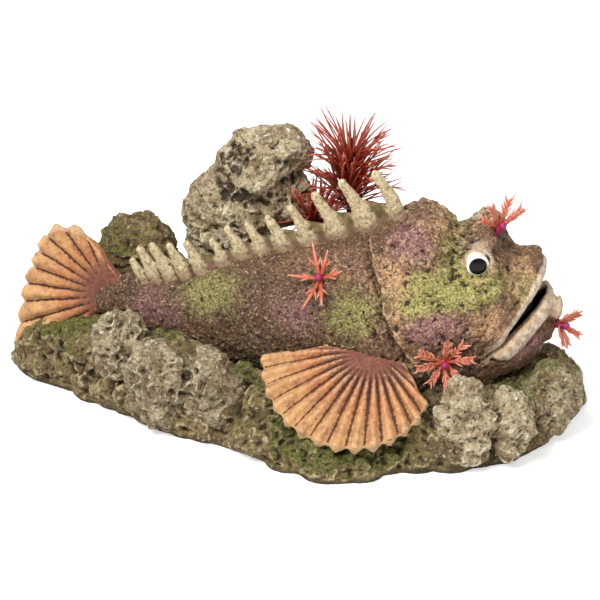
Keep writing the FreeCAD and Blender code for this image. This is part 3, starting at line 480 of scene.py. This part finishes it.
def fin_look(name, root, middle, tip, groove):
    """Fin rays: colour runs from root to tip, grooves are darkened with dark paint and painted shade,
    ridges get dry-brushed paint and a painted highlight, worn edges pale.
    """
    look = Look(name, Specular_IOR_Level=0.35)
    streak = look.noise(1.6, 5, 0.7)
    base = look.mix(look.spread(look.mask("along"), 0.05, 0.5), root, middle)
    base = look.mix(look.spread(look.mask("along"), 0.45, 0.95), base, tip)
    base = look.mix(look.spread(look.noise(6, 4), 0.42, 0.66, 0.0, 0.55), base, groove)
    base = look.mix(look.spread(streak, 0.52, 0.75, 0.0, 0.4), base, "#e2b184")
    # ridges: dry-brushed paint that is also a painted highlight
    base = look.mix(look.spread(look.mask("ridge"), 0.3, 1.0, 0.0, 0.45), base, "#e6c095")
    base = look.mix(look.spread(look.mask("edge"), 0.3, 1.0, 0.0, 0.4), base, "#e0cba6")
    # hollows: dark paint that is also painted shade
    base = look.mix(look.spread(look.mask("wash_and_shade"), 0.1, 0.65, 0.0, 0.92), base, "#40241b")
    base = look.mix(look.spread(look.noise(2.6, 5, 0.75), 0.36, 0.5, 0.4, 0.0), base, "#6b4130")
    look.bump(streak, 0.5, 0.35)
    return look.finish(base, 0.6)


def spine_look():
    """Dorsal fin: pale spines in an olive web with a brown foot, dark paint and painted shade in
    hollows, dry-brushed paint and painted highlights on ridges.
    """
    look = Look("painted_fin_spines", Specular_IOR_Level=0.35)
    streak = look.noise(1.3, 5, 0.7)
    web = look.mix(look.spread(look.noise(4, 4), 0.4, 0.65), "#675a36", "#8d7b52")
    web = look.mix(look.spread(look.mask("foot"), 0.3, 0.9, 0.0, 0.8), web, "#74564a")
    spine = look.mix(look.spread(streak, 0.35, 0.6), "#a08c66", "#d3c19b")
    base = look.mix(look.mask("spine"), web, spine)
    base = look.mix(look.spread(look.mask("foot"), 0.45, 1.0, 0.0, 0.65), base, "#86654f")
    # ridges: dry-brushed paint that is also a painted highlight
    base = look.mix(look.spread(look.mask("ridge"), 0.2, 0.8, 0.0, 0.45), base, "#e9dcbd")
    # hollows: dark paint that is also painted shade
    base = look.mix(look.spread(look.mask("wash_and_shade"), 0.1, 0.7, 0.0, 0.9), base, "#4a3c24")
    base = look.mix(look.spread(streak, 0.36, 0.46, 0.35, 0.0), base, "#5d5030")
    look.bump(streak, 0.45, 0.4)
    return look.finish(base, 0.55)


def plant_look(name, root, tip, pale):
    """Soft plastic, a little translucent, paler towards the tips."""
    look = Look(name, roughness=0.42, Subsurface_Weight=0.25, Subsurface_Scale=0.002)
    look.surface.inputs["Subsurface Radius"].default_value = (1.0, 0.35, 0.25)
    along = look.sum("ADD", look.mask("tip"), look.spread(look.noise(4, 3), 0.3, 0.7, -0.2, 0.2))
    base = look.mix(look.spread(along, 0.1, 0.8), root, tip)
    base = look.mix(look.spread(along, 0.75, 1.15, 0.0, 0.7), base, pale)
    look.bump(look.noise(0.7, 3), 0.25, 0.15)
    return look.finish(base)


def moulded_look(name, main, worn, size, roughness, share=0.3, **inputs):
    """Moulded plastic, rubber or metal with a fine handled surface."""
    look = Look(name, roughness=roughness, **inputs)
    spots = look.noise(size, 5, 0.7)
    base = look.mix(look.spread(spots, 0.45, 0.75, 0.0, share), main, worn)
    look.bump(look.noise(size * 0.25, 3), 0.2, 0.1)
    return look.finish(base, look.spread(spots, 0.3, 0.7, roughness * 0.8, min(1.0, roughness * 1.25)))


# ------------------------------------------------------------------ the fish
def add_shading(clay, fine, wide):
    """Paints masks of hollows, darkened with dark paint and painted shade, and of ridges, lightened with
    dry-brushed paint and painted highlights.
    """
    near, far = clay.depth(NEAR_ROUNDS), clay.depth(FAR_ROUNDS)
    # hollows at a near and a wide scale: dark paint that is also painted shade
    clay.paint("wash_and_shade", ramp(near, 0.0, fine) * 0.55 + ramp(far, 0.05, wide) * 0.75)
    # ridges at a near and a wide scale: dry-brushed paint that is also a painted highlight
    clay.paint("ridge", ramp(-near, 0.02, fine) * 0.5 + ramp(-far, 0.1, wide) * 0.6)


def fish_casting():
    """Body and jaw as one sculpted, painted casting."""
    sources = [cad_mesh("fish_body"), cad_mesh("lower_jaw")]
    sources += [box_mesh(low, high) for low, high in FISH_PLUGS]
    sources += [lump_mesh(centre, reach) for centre, reach in FISH_LUMPS]
    clay = Clay("fish_casting", sources, FISH_VOXEL, 4)
    clay.push(fish_forms(clay.points))
    clay.points = open_lips(clay.smoothed(clay.points, 1))
    clay.push(fish_grain(clay.points))
    add_shading(clay, 0.2, 0.8)
    for name, values in fish_paint(clay.points, clay.normals()).items():
        clay.paint(name, values)
    return clay.finish(("fish_body", "lower_jaw"), "fish_skin", skin_look())


def folded(points):
    """Points with y as the distance from the fish's middle plane, so both sides match."""
    return np.column_stack([points[:, 0], np.abs(points[:, 1] - FISH_Y), points[:, 2]])


def inside_mouth(points):
    """1 on the walls of the mouth's hollow, 0 on the lips and the skin."""
    x, out, z = folded(points).T
    width = np.interp(x, *MOUTH_WIDTH) + 0.8
    roof = np.interp(x, *MOUTH_ROOF) + 1.0
    floor = np.interp(x, *MOUTH_FLOOR) - 1.0
    back, front = MOUTH_WIDTH[0][0] - 2, MOUTH_WIDTH[0][-1]
    return ramp(width - out, 0, 0.6) * (x > back) * (x < front) * (z < roof) * (z > floor)


def lip_bands(points):
    """Distance above the upper lip's line, below the lower one's, and 1 from the mouth's corner on."""
    x, _, z = folded(points).T
    upper = -line_distance(x, z, UPPER_LIP)
    lower = line_distance(x, z, LOWER_LIP)
    front = ramp(x, 86, 92)
    return upper, lower, front


def open_lips(points):
    """Draws the lips apart along the sides of the mouth."""
    upper, lower, front = lip_bands(points)
    raise_by = 1.3 * bell(upper, 4.0) * front
    lower_by = 1.0 * bell(lower, 4.0) * front * ramp(-points[:, 0], -116, -108)
    apart = 0.7 * (raise_by - lower_by)
    return points + np.column_stack([-apart, 0 * apart, apart])


def fish_forms(points):
    """Gill cover, creases, lips, brows, sockets and lumps of the head."""
    side = folded(points)
    x, out, z = side.T
    flank = ramp(out, 6, 14)
    # The gill cover swells up to its edge, with a groove behind it and a second crease.
    gill = line_distance(x, z, GILL_EDGE[::-1])
    push = 2.6 * ramp(gill, -0.6, 1.2) * np.exp(-np.clip(gill, 0, None) / 15) * flank
    push -= 1.7 * bell(gill + 2.2, 2.4) * flank * ramp(z, 32, 42)
    push -= 1.2 * bell(line_distance(x, z, SECOND_CREASE), 1.6) * flank
    # Each lip is a roll with a fold beside it.
    upper, lower, front = lip_bands(points)
    push += 0.9 * bell(upper - 2.2, 2.0) * front * (upper > 0)
    push -= 0.7 * bell(upper - 5.6, 1.3) * front
    push += 1.3 * bell(lower - 3.4, 3.2) * front * (lower > -1)
    push -= 1.3 * bell(lower - 8.0, 1.4) * front
    # A raised ring and a dip surround the eye.
    from_eye = np.linalg.norm(side - EYE, axis=1)
    push += 1.5 * bell(from_eye - 7.3, 1.7) - 0.7 * bell(from_eye - 11, 2.2)
    for centre, reach, height in HEAD_LUMPS:
        push += height * blob(side, centre, reach)
    # The skin is uneven, most of all on the head, and calm around the lips.
    head = ramp(x, 30, 50)
    calm = 1 - 0.92 * np.maximum(bell(upper - 2, 6), bell(lower - 3, 7)) * front
    push += (0.6 + 1.5 * head) * clouds(points, 14, 2, 3.1) * calm
    push += (0.6 + 1.0 * head) * clouds(points, 6, 2, 7.7) * calm
    push += 1.6 * ramp(clouds(points, 5, 1, 4.4), 0.25, 0.7) * head * ramp(z, 70, 90)
    return push * (1 - 0.9 * inside_mouth(points))


def fish_grain(points):
    """Sandy texture of the cast skin, finer on the lips."""
    upper, lower, front = lip_bands(points)
    lips = np.maximum(ramp(-upper, -7, -4), ramp(-lower, -8, -5)) * front
    grain = 0.8 * (0.55 - cells(points, 2.0, 1.3)[0]) + 0.6 * clouds(points, 2.6, 3, 5.5)
    small = 0.35 * (0.5 - cells(points, 1.15, 8.8)[0])
    return (grain + small) * (1 - 0.75 * lips) * (1 - 0.8 * inside_mouth(points))


def fish_paint(points, normals):
    """Masks for the colour patches, the lower body with painted shade on every downward-facing side, the
    flanks, the lips and the mouth's inside.
    """
    side = folded(points)
    x, _, z = side.T
    warp = 3.0 * clouds(points, 9, 2, 2.2)
    moved = side + np.column_stack([warp, 0 * warp, warp])
    paint = {name: sum(strength * blob(moved, centre, reach) for centre, reach, strength in patches)
             for name, patches in SKIN_PATCHES.items()}
    # the lower body's colour, plus painted shade on every side that faces down
    paint["belly_and_underside_shade"] = ramp(-z, -44, -28) * ramp(-x, -92, -70) + ramp(-normals[:, 2], 0.35, 0.9)
    paint["flank"] = ramp(-x, -38, -28) * ramp(-z, -80, -62)
    paint["inside"] = inside_mouth(points)
    upper, lower, front = lip_bands(points)
    upper_width, lower_width = 3.8 + 2.8 * ramp(x, 96, 114), 7.6
    lips = np.maximum(ramp(upper_width - upper, 0, 2.2) * (upper > -3),
                      ramp(lower_width - lower, 0, 2.4) * (lower > -3))
    ring = bell(np.linalg.norm(side - EYE, axis=1) - 6.3, 1.3) * ramp(z, 84, 91)
    brow = blob(side, (82, 17, 92.5), (5.5, 6, 2.2))
    paint["pale"] = 0.95 * lips * front + 0.7 * ring + 0.8 * brow
    return paint


def back_profile():
    """Height of the fish's back along x, from the casting."""
    points = cad_points("fish_body")
    middle = points[np.abs(points[:, 1] - FISH_Y) < 12]
    edges = np.linspace(middle[:, 0].min(), middle[:, 0].max(), 28)
    tops = [middle[(middle[:, 0] >= a) & (middle[:, 0] <= b), 2].max() for a, b in zip(edges, edges[1:])]
    return (edges[1:] + edges[:-1]) / 2, np.array(tops)


def spine_thickness(girth, share):
    """Thickness of a spine at a share of the way from its root to its tip."""
    return girth * (SPINE_FOOT - SPINE_TAPER * share)


def spine_places(where, tops):
    """Root, tip and girth of each spine: the fin's thick blunt rays."""
    for x, length in SPINES:
        root = np.array([x, FISH_Y, np.interp(x, where, tops) - 2.0])
        tip = root + (length + 1.0) * np.array([-math.sin(SPINE_LEAN), 0, math.cos(SPINE_LEAN)])
        yield root, tip, 1.3 + 0.092 * length


def dorsal_fin():
    """Thick beaded spines with a thin web between them, curving forward a little."""
    where, tops = back_profile()
    spines = list(spine_places(where, tops))
    beads = []
    for root, tip, girth in spines:
        for share in np.linspace(0.0, LAST_BEAD, BEADS):
            thick = spine_thickness(girth, share)
            beads.append(lump_mesh(root + share * (tip - root), (thick, thick, thick * 1.25)))
    clay = Clay("dorsal_fin_cast", [cad_mesh("dorsal_fin")] + beads, SPINE_VOXEL, 4)
    near = np.full(len(clay.points), 99.0)
    for root, tip, girth in spines:
        run = tip - root
        share = np.clip((clay.points - root) @ run / (run @ run), 0, 1)
        gap = np.linalg.norm(clay.points - root - share[:, None] * run, axis=1)
        near = np.minimum(near, gap / spine_thickness(girth, share))
    x, y, z = clay.points.T
    height = z - np.interp(x, where, tops)
    lift = np.clip(height, 0, None)
    clay.points = np.column_stack([x + 0.14 * lift - 0.008 * lift ** 2, y, z])
    clay.push(0.5 * clouds(clay.points, 5, 2, 4.0) + 0.22 * clouds(clay.points, 1.8, 3, 9.0))
    clay.push(0.5 * ramp(-near, -1.5, -0.9) - 0.5)
    add_shading(clay, 0.15, 0.8)
    clay.paint("spine", ramp(-near, -1.75, -1.2))
    clay.paint("foot", ramp(-height, -9, 1))
    return clay.finish(("dorsal_fin",), "fin_spines", spine_look())


def tail_fin(material):
    """Upright fan with a ridge along each ray and a scalloped edge."""
    clay = Clay("tail_fin_cast", [cad_mesh("tail_fin")], TAIL_VOXEL, 5)
    x0, z0, first, last, rays = TAIL_FAN
    x, y, z = clay.points.T
    reach = np.hypot(x - x0, z - z0)
    turn = np.degrees(np.arctan2(z - z0, x - x0)) % 360
    phase = (turn - first) / (last - first) * (rays - 1)
    pleat = np.abs(np.cos(math.pi * phase))
    outer = ramp(reach, 8, 30)
    face = ramp(np.abs(clay.normals()[:, 1]), 0.3, 0.8)
    clay.push((2.6 * pleat ** 0.6 - 1.9) * outer * face + 0.5 * clouds(clay.points, 7, 3, 1.0))
    clay.push(0.25 * clouds(clay.points, 1.6, 2, 6.0))
    away = np.column_stack([x - x0, 0 * y, z - z0]) / reach[:, None].clip(1)
    clay.points = clay.points + away * ((2.2 * pleat - 0.9) * ramp(reach, 22, 38))[:, None]
    add_shading(clay, 0.15, 0.9)
    clay.paint("along", ramp(reach, 4, 46))
    clay.paint("edge", (1 - face) * ramp(reach, 24, 36))
    return clay.finish(("tail_fin",), "fin_rays", material)


def pectoral_fin(name, material):
    """Tilted fan like the tail's, drooping towards its edge."""
    clay = Clay(name + "_cast", [cad_mesh(name)], PECTORAL_VOXEL, 4)
    x0, y0, z0, first, last, tilt, side = PECTORALS[name]
    angle = math.radians(-side * tilt)
    local = clay.points - (x0, y0, z0)
    across = local[:, 0]
    out = local[:, 1] * math.cos(angle) + local[:, 2] * math.sin(angle)
    reach = np.hypot(across, out)
    turn = np.degrees(np.arctan2(-side * out, across)) % 360
    phase = (turn - first) / (last - first) * (PECTORAL_RAYS - 1)
    pleat = np.abs(np.cos(math.pi * phase))
    normal = clay.normals()
    face = ramp(np.abs(normal[:, 1] * -math.sin(angle) + normal[:, 2] * math.cos(angle)), 0.3, 0.8)
    outer = ramp(reach, 8, 22)
    clay.push((1.9 * pleat ** 0.6 - 1.3) * outer * face + 0.35 * clouds(clay.points, 6, 3, 2.0))
    clay.push(0.18 * clouds(clay.points, 1.5, 2, 3.0))
    droop = 0.0022 * np.clip(reach - 10, 0, None) ** 2
    clay.points = clay.points - np.column_stack([0 * droop, 0 * droop, droop])
    add_shading(clay, 0.13, 0.7)
    clay.paint("along", ramp(reach, 6, 50))
    clay.paint("edge", (1 - face) * ramp(reach, 26, 38))
    return clay.finish((name,), "fin_rays", material)


# ------------------------------------------------------------------ rockwork
def lava(points, coarse, pits, seed):
    """Big uneven lumps, then warped hollows of two sizes with walls between them."""
    warped = points + 2.6 * np.column_stack([clouds(points, 7, 2, seed + k) for k in (0, 9, 18)])
    near, second = cells(warped, 7.0, seed)
    small = cells(warped, 3.1, seed + 4)[0]
    bulk = coarse * clouds(points, 20, 2, seed + 1) + 0.55 * coarse * clouds(points, 8, 3, seed + 2)
    hollows = 2.6 * ramp(-near, -0.6, -0.1) * ramp(clouds(points, 15, 2, seed + 3), -0.3, 0.2)
    walls = 0.9 * ramp(second - near, 0.3, 0.03)
    return bulk + pits * (walls - hollows - 0.9 * ramp(-small, -0.5, -0.1))


def moss_places(points, normals):
    """Moss collects on the upper sides, in a few drifts."""
    thick = sum(blob(points, (x, y, z), (reach, reach, 14)) for x, y, z, reach in MOSS_DRIFTS)
    return thick * ramp(normals[:, 2], -0.1, 0.6) + 0.25 * ramp(normals[:, 2], 0.5, 1.0)


def rock_piece(node, material, seed, pits=1.0, dents=()):
    """One rock or group of rocks, melted with its lumps and roughened."""
    sources = [cad_mesh(node)] + [lump_mesh(*lump) for lump in ROCK_LUMPS[node]]
    clay = Clay(node + "_cast", sources, ROCK_VOXEL, 2)
    clay.push(lava(clay.points, ROCK_BULK, pits, seed))
    for centre, reach, depth in dents:
        clay.push(-depth * blob(clay.points, centre, reach))
    clay.points = clay.smoothed(clay.points, 1)
    grain = 0.35 * (0.5 - cells(clay.points, 1.7, seed + 6)[0])
    clay.push(grain + 0.35 * clouds(clay.points, 2.2, 3, seed + 7))
    add_shading(clay, 0.3, 1.5)
    clay.paint("moss", moss_places(clay.points, clay.normals()))
    clay.paint("rim", np.zeros(len(clay.points)))
    return clay.finish((node,), "lava_rock", material)


def rim_lumps():
    """Boulders melted into the base in rows along its rim, lower where the pectoral fin hangs over."""
    points = cad_points("reef_base")
    points = points[points[:, 2] < RIM_HEIGHT]
    turns = np.arctan2(points[:, 1] / BASE_ROUNDNESS, points[:, 0])
    reach = np.hypot(points[:, 0], points[:, 1])
    random.seed("rim")
    lumps = []
    for i in range(RIM_BOULDERS):
        turn = 2 * math.pi * i / RIM_BOULDERS - math.pi
        near = np.abs((turns - turn + math.pi) % (2 * math.pi) - math.pi) < 0.12
        rim = points[near][reach[near].argmax()]
        under_fin = ramp(rim[0], -12, 4) * ramp(-rim[0], -88, -72) * (rim[1] < 0)
        for inset, height, size in RIM_ROWS:
            place = (rim[0] * inset, rim[1] * inset, height + random.uniform(-2, 3) - 7 * under_fin)
            wide = size * random.uniform(0.8, 1.15) * (1 - 0.15 * under_fin)
            lumps.append((place, (wide * 1.15, wide * 0.85, wide * random.uniform(0.7, 1.0))))
    return lumps


def reef_base(material):
    """Base with its boulders, flat below, rough wherever it shows."""
    lumps = [lump_mesh(*lump) for lump in rim_lumps() + BASE_LUMPS]
    clay = Clay("reef_base_cast", [cad_mesh("reef_base")] + lumps, BASE_VOXEL, 2)
    clay.points[:, 2] = np.clip(clay.points[:, 2], 0.0, None)
    shown = ramp(clay.points[:, 2], 0.5, 4) * ramp(clay.normals()[:, 2], -0.85, -0.3)
    clay.push(lava(clay.points, BASE_BULK, 0.8, 11.0) * shown)
    grain = 0.7 * (0.5 - cells(clay.points, 2.6, 17.0)[0]) + 0.6 * clouds(clay.points, 3.0, 3, 18.0)
    clay.push(grain * shown)
    clay.points[:, 2] = np.clip(clay.points[:, 2], 0.0, None)
    add_shading(clay, 0.35, 1.6)
    clay.paint("moss", moss_places(clay.points, clay.normals()))
    clay.paint("rim", ramp(-clay.points[:, 2], -3.0, -1.0) * 0.7)
    return clay.finish(("reef_base",), "lava_rock", material)


def rockwork():
    """Every rock, in three mixes of the same paint."""
    pale = rock_look("pale_lava_rock", "#866f4e", "#cbba95", "#f6eeda", 0.75)
    brown = rock_look("brown_lava_rock", "#65543a", "#917d54", "#c6b58e", 0.95)
    worn = rock_look("worn_lava_rock", "#776347", "#b5a583", "#e2d8c2", 0.75)
    reef_base(brown)
    rock_piece("front_left_rocks", worn, 21.0)
    rock_piece("front_right_rocks", pale, 31.0)
    rock_piece("right_end_rock", pale, 41.0)
    rock_piece("rear_left_rock", brown, 51.0)
    rock_piece("rear_tall_rock", pale, 61.0, 0.95, TALL_ROCK_DENTS)


# ------------------------------------------------------------------ plastic plants
class Strands:
    """Many thin tapered blades, gathered into one mesh."""

    def __init__(self):
        self.points, self.faces, self.tips = [], [], []

    def blade(self, path, widths, thickness, flat, tips):
        """Closed blade along a path in millimetres; flat is roughly its face's direction."""
        start = len(self.points)
        for i, (place, width) in enumerate(zip(path, widths)):
            along = (path[min(i + 1, len(path) - 1)] - path[max(i - 1, 0)]).normalized()
            across = along.cross(flat).normalized() * width / 2
            up = across.cross(along).normalized() * min(thickness, width * 0.8) / 2
            for corner in (across, up, -across, -up):
                self.points.append((place + corner) * MM)
                self.tips.append(tips[i])
        for i in range(len(path) - 1):
            for j in range(4):
                a, b = start + 4 * i + j, start + 4 * i + (j + 1) % 4
                self.faces.append((a, b, b + 4, a + 4))
        end = start + 4 * (len(path) - 1)
        self.faces.append((start + 3, start + 2, start + 1, start))
        self.faces.append((end, end + 1, end + 2, end + 3))

    def finish(self, name, replaced, slot, material):
        mesh = bpy.data.meshes.new(name)
        mesh.from_pydata(self.points, [], self.faces)
        layer = mesh.attributes.new("tip", "FLOAT", "POINT")
        layer.data.foreach_set("value", self.tips)
        mesh.materials.append(material)
        mesh.polygons.foreach_set("use_smooth", [True] * len(mesh.polygons))
        return new_piece(name, mesh, replaced)


def curve_path(start, direction, bend, length, steps):
    """Points along a blade that bends steadily towards bend."""
    path, heading, place = [start], direction.normalized(), start
    for _ in range(steps):
        heading = (heading + bend / steps).normalized()
        place = place + heading * (length / steps)
        path.append(place)
    return path


def sprig(name, material):
    """Star of forked leaves round the hub that its peg goes through."""
    direction, middle, spread, arms, length, forks = SPRIGS[name]
    outward = Vector(direction).normalized()
    points = cad_points(name)
    hub = Vector(points.mean(axis=0)) - outward * HUB_SINK
    middle = Vector(middle)
    across = (middle - outward * middle.dot(outward)).normalized()
    random.seed(name)
    strands = Strands()
    steps = len(ARM_WIDTHS) - 1
    for i in range(arms):
        swing = math.radians(spread) * ((i + 0.5 + 0.35 * random.uniform(-1, 1)) / arms - 0.5)
        turn = Matrix.Rotation(swing, 3, outward)
        along = (turn @ across + outward * random.uniform(0.25, 0.75)).normalized()
        reach = length * random.uniform(0.8, 1.1)
        path = curve_path(hub, along, outward * random.uniform(-0.4, 0.5), reach, steps)
        strands.blade(path, ARM_WIDTHS, ARM_THICK, outward, [j / steps for j in range(steps + 1)])
        for fork in range(forks):
            root = path[2 + 4 * fork // forks]
            for hand in (-1, 1):
                splay = Matrix.Rotation(hand * math.radians(random.uniform(32, 52)), 3, outward)
                twig_reach = reach * random.uniform(0.24, 0.36)
                twig = curve_path(root, splay @ along, along * 0.5, twig_reach, len(TWIG_WIDTHS) - 1)
                strands.blade(twig, TWIG_WIDTHS, TWIG_THICK, outward, [0.5, 0.7, 0.9, 1.0])
    hub_path = [hub - outward * 0.8, hub + outward * 0.9]
    strands.blade(hub_path, HUB_WIDTHS, HUB_WIDTHS[1], across, [0.0, 0.0])
    return strands.finish(name + "_leaves", (name,), "coral_plastic", material)


def red_plant(name, material):
    """Thin strands that spring from the stem in tiers, arch out and turn up at their tips."""
    tiers, strands_each, length = RED_PLANTS[name]
    node, stem = name + "_crowns", name + "_stem"
    low, high = (np.array(corner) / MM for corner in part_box(stem))
    crown_low, crown_high = (np.array(corner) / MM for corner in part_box(node))
    middle = (low + high) / 2
    foot, head = crown_low[2], min(high[2], crown_high[2]) - 0.55 * length
    random.seed(node)
    strands = Strands()
    steps = len(STRAND_WIDTHS) - 1
    tips = [j / steps for j in range(steps + 1)]
    for tier in range(tiers):
        share = tier / (tiers - 1)
        for i in range(strands_each):
            turn = 2 * math.pi * (i + random.random()) / strands_each
            outward = Vector((math.cos(turn), math.sin(turn), 0))
            heading = outward + Vector((0, 0, random.uniform(0.3, 1.1) + 1.1 * share))
            bend = outward * random.uniform(-0.2, 0.9) + Vector((0, 0, random.uniform(-0.9, 0.7)))
            bend += Vector((random.uniform(-0.5, 0.5), random.uniform(-0.5, 0.5), 0))
            start = Vector((middle[0], middle[1], foot + share * (head - foot) + random.uniform(-2, 2)))
            path = curve_path(start, heading, bend, length * random.uniform(0.75, 1.15), steps)
            strands.blade(path, STRAND_WIDTHS, STRAND_THICK, Vector((0, 0, 1)), tips)
    return strands.finish(node + "_strands", (node,), "red_plastic", material)


def plants():
    coral = plant_look("coral_plastic_leaves", "#c4583f", "#e58569", "#f8c4ae")
    for name in SPRIGS:
        sprig(name, coral)
    red = plant_look("red_plastic_strands", "#7a2218", "#b04a34", "#eda083")
    for name in RED_PLANTS:
        red_plant(name, red)


# ------------------------------------------------------------------ CAD pieces kept as they are
def dress(node, material):
    """Gives a CAD piece its material."""
    cad_mesh(node).materials.clear()
    cad_mesh(node).materials.append(material)


def small_parts():
    """Eyes, mouth plates, pegs, stems and air line, in their own plastics, rubber, steel and stone."""
    white = moulded_look("eye_white_enamel", "#f4f1e8", "#d9d2bd", 1.5, 0.25, Coat_Weight=0.5)
    pupil = moulded_look("eye_pupil_gloss", "#030303", "#0b0b0b", 1.5, 0.12, Coat_Weight=0.35,
                         Specular_IOR_Level=0.2)
    black = moulded_look("black_moulded_plastic", "#141312", "#3a3733", 3.0, 0.45)
    magenta = moulded_look("magenta_plastic_pegs", "#a3205c", "#cf5c8e", 1.0, 0.35)
    stem = moulded_look("red_plastic_stems", "#7a2420", "#a04436", 2.0, 0.4)
    steel = moulded_look("stainless_pin", "#a9abad", "#d5d6d8", 0.8, 0.25, Metallic=1.0)
    stone = moulded_look("blue_grey_air_stone", "#6f7f8c", "#aab4bb", 0.7, 0.95, 0.8)
    rubber = moulded_look("black_rubber", "#1d1d1e", "#4a4a4b", 2.0, 0.8)
    tube = moulded_look("clear_soft_tube", "#dfe8e6", "#f2f6f5", 6.0, 0.15, Transmission_Weight=0.85)
    looks = {white: ("right_eye_white", "left_eye_white"), pupil: ("right_eye_pupil", "left_eye_pupil"),
             black: ("mouth_flap", "mouth_insert", "air_inlet"), magenta: ("sprig_pegs",),
             stem: ("tall_red_plant_stem", "low_red_plant_stem"), steel: ("flap_pin",),
             stone: ("air_stone",), rubber: ("inlet_grommet",), tube: ("air_tube",)}
    for material, nodes in looks.items():
        for node in nodes:
            dress(node, material)


# ------------------------------------------------------------------ stage
def floor_look():
    """Pale paper, lit up a little for the camera alone so that it stays near white."""
    look = Look("pale_floor", roughness=0.9)
    camera_ray = look.node("ShaderNodeLightPath", "Is Camera Ray")
    look.plug((1, 1, 1, 1), look.surface.inputs["Emission Color"])
    look.plug(look.sum("MULTIPLY", camera_ray, FLOOR_LIFT), look.surface.inputs["Emission Strength"])
    fibres = look.spread(look.noise(300, 2), 0.3, 0.7)
    return look.finish(look.mix(fibres, "#e4e4e2", "#eaeae8"))


def stage():
    """Pale floor, soft sky and three lamps."""
    floor_mesh = bpy.data.meshes.new("floor")
    corners = [(FLOOR_REACH * x, FLOOR_REACH * y, 0) for x, y in ((-1, -1), (1, -1), (1, 1), (-1, 1))]
    floor_mesh.from_pydata(corners, [], [(0, 1, 2, 3)])
    floor = bpy.data.objects.new("floor", floor_mesh)
    bpy.context.scene.collection.objects.link(floor)
    floor_mesh.materials.append(floor_look())
    world = bpy.data.worlds.new("studio")
    world.use_nodes = True
    nodes, links = world.node_tree.nodes, world.node_tree.links
    sky, rays = nodes["Background"], nodes.new("ShaderNodeLightPath")
    sky.inputs["Color"].default_value = (1, 1, 1, 1)
    strength = nodes.new("ShaderNodeMapRange")
    links.new(rays.outputs["Is Camera Ray"], strength.inputs["Value"])
    strength.inputs["To Min"].default_value, strength.inputs["To Max"].default_value = SKY_LIGHT, 1.0
    links.new(strength.outputs["Result"], sky.inputs["Strength"])
    bpy.context.scene.world = world
    bpy.context.scene.view_settings.view_transform = "Standard"
    for name, place, power, size in LAMPS:
        lamp = bpy.data.lights.new(name, "AREA")
        lamp.energy, lamp.size = power, size
        holder = bpy.data.objects.new(name, lamp)
        holder.location = place
        holder.rotation_euler = (CAMERA_AIM - Vector(place)).to_track_quat("-Z", "Y").to_euler()
        bpy.context.scene.collection.objects.link(holder)


def camera():
    """Long lens from the front, a little above."""
    azimuth, elevation = math.radians(CAMERA_AZIMUTH), math.radians(CAMERA_ELEVATION)
    back = Vector((math.sin(azimuth) * math.cos(elevation), -math.cos(azimuth) * math.cos(elevation),
                   math.sin(elevation)))
    lens = bpy.data.cameras.new("camera")
    lens.lens, lens.sensor_width = CAMERA_LENS, 36.0
    holder = bpy.data.objects.new("camera", lens)
    holder.location = CAMERA_AIM + back * CAMERA_DISTANCE
    holder.rotation_euler = (-back).to_track_quat("-Z", "Y").to_euler()
    bpy.context.scene.collection.objects.link(holder)
    bpy.context.scene.camera = holder


fish_casting()
dorsal_fin()
fins = fin_look("painted_fin_rays", "#7c4a3c", "#c98655", "#d3a26c", "#9a6148")
tail_fin(fins)
for fin_name in PECTORALS:
    pectoral_fin(fin_name, fins)
rockwork()
plants()
small_parts()
stage()
camera()
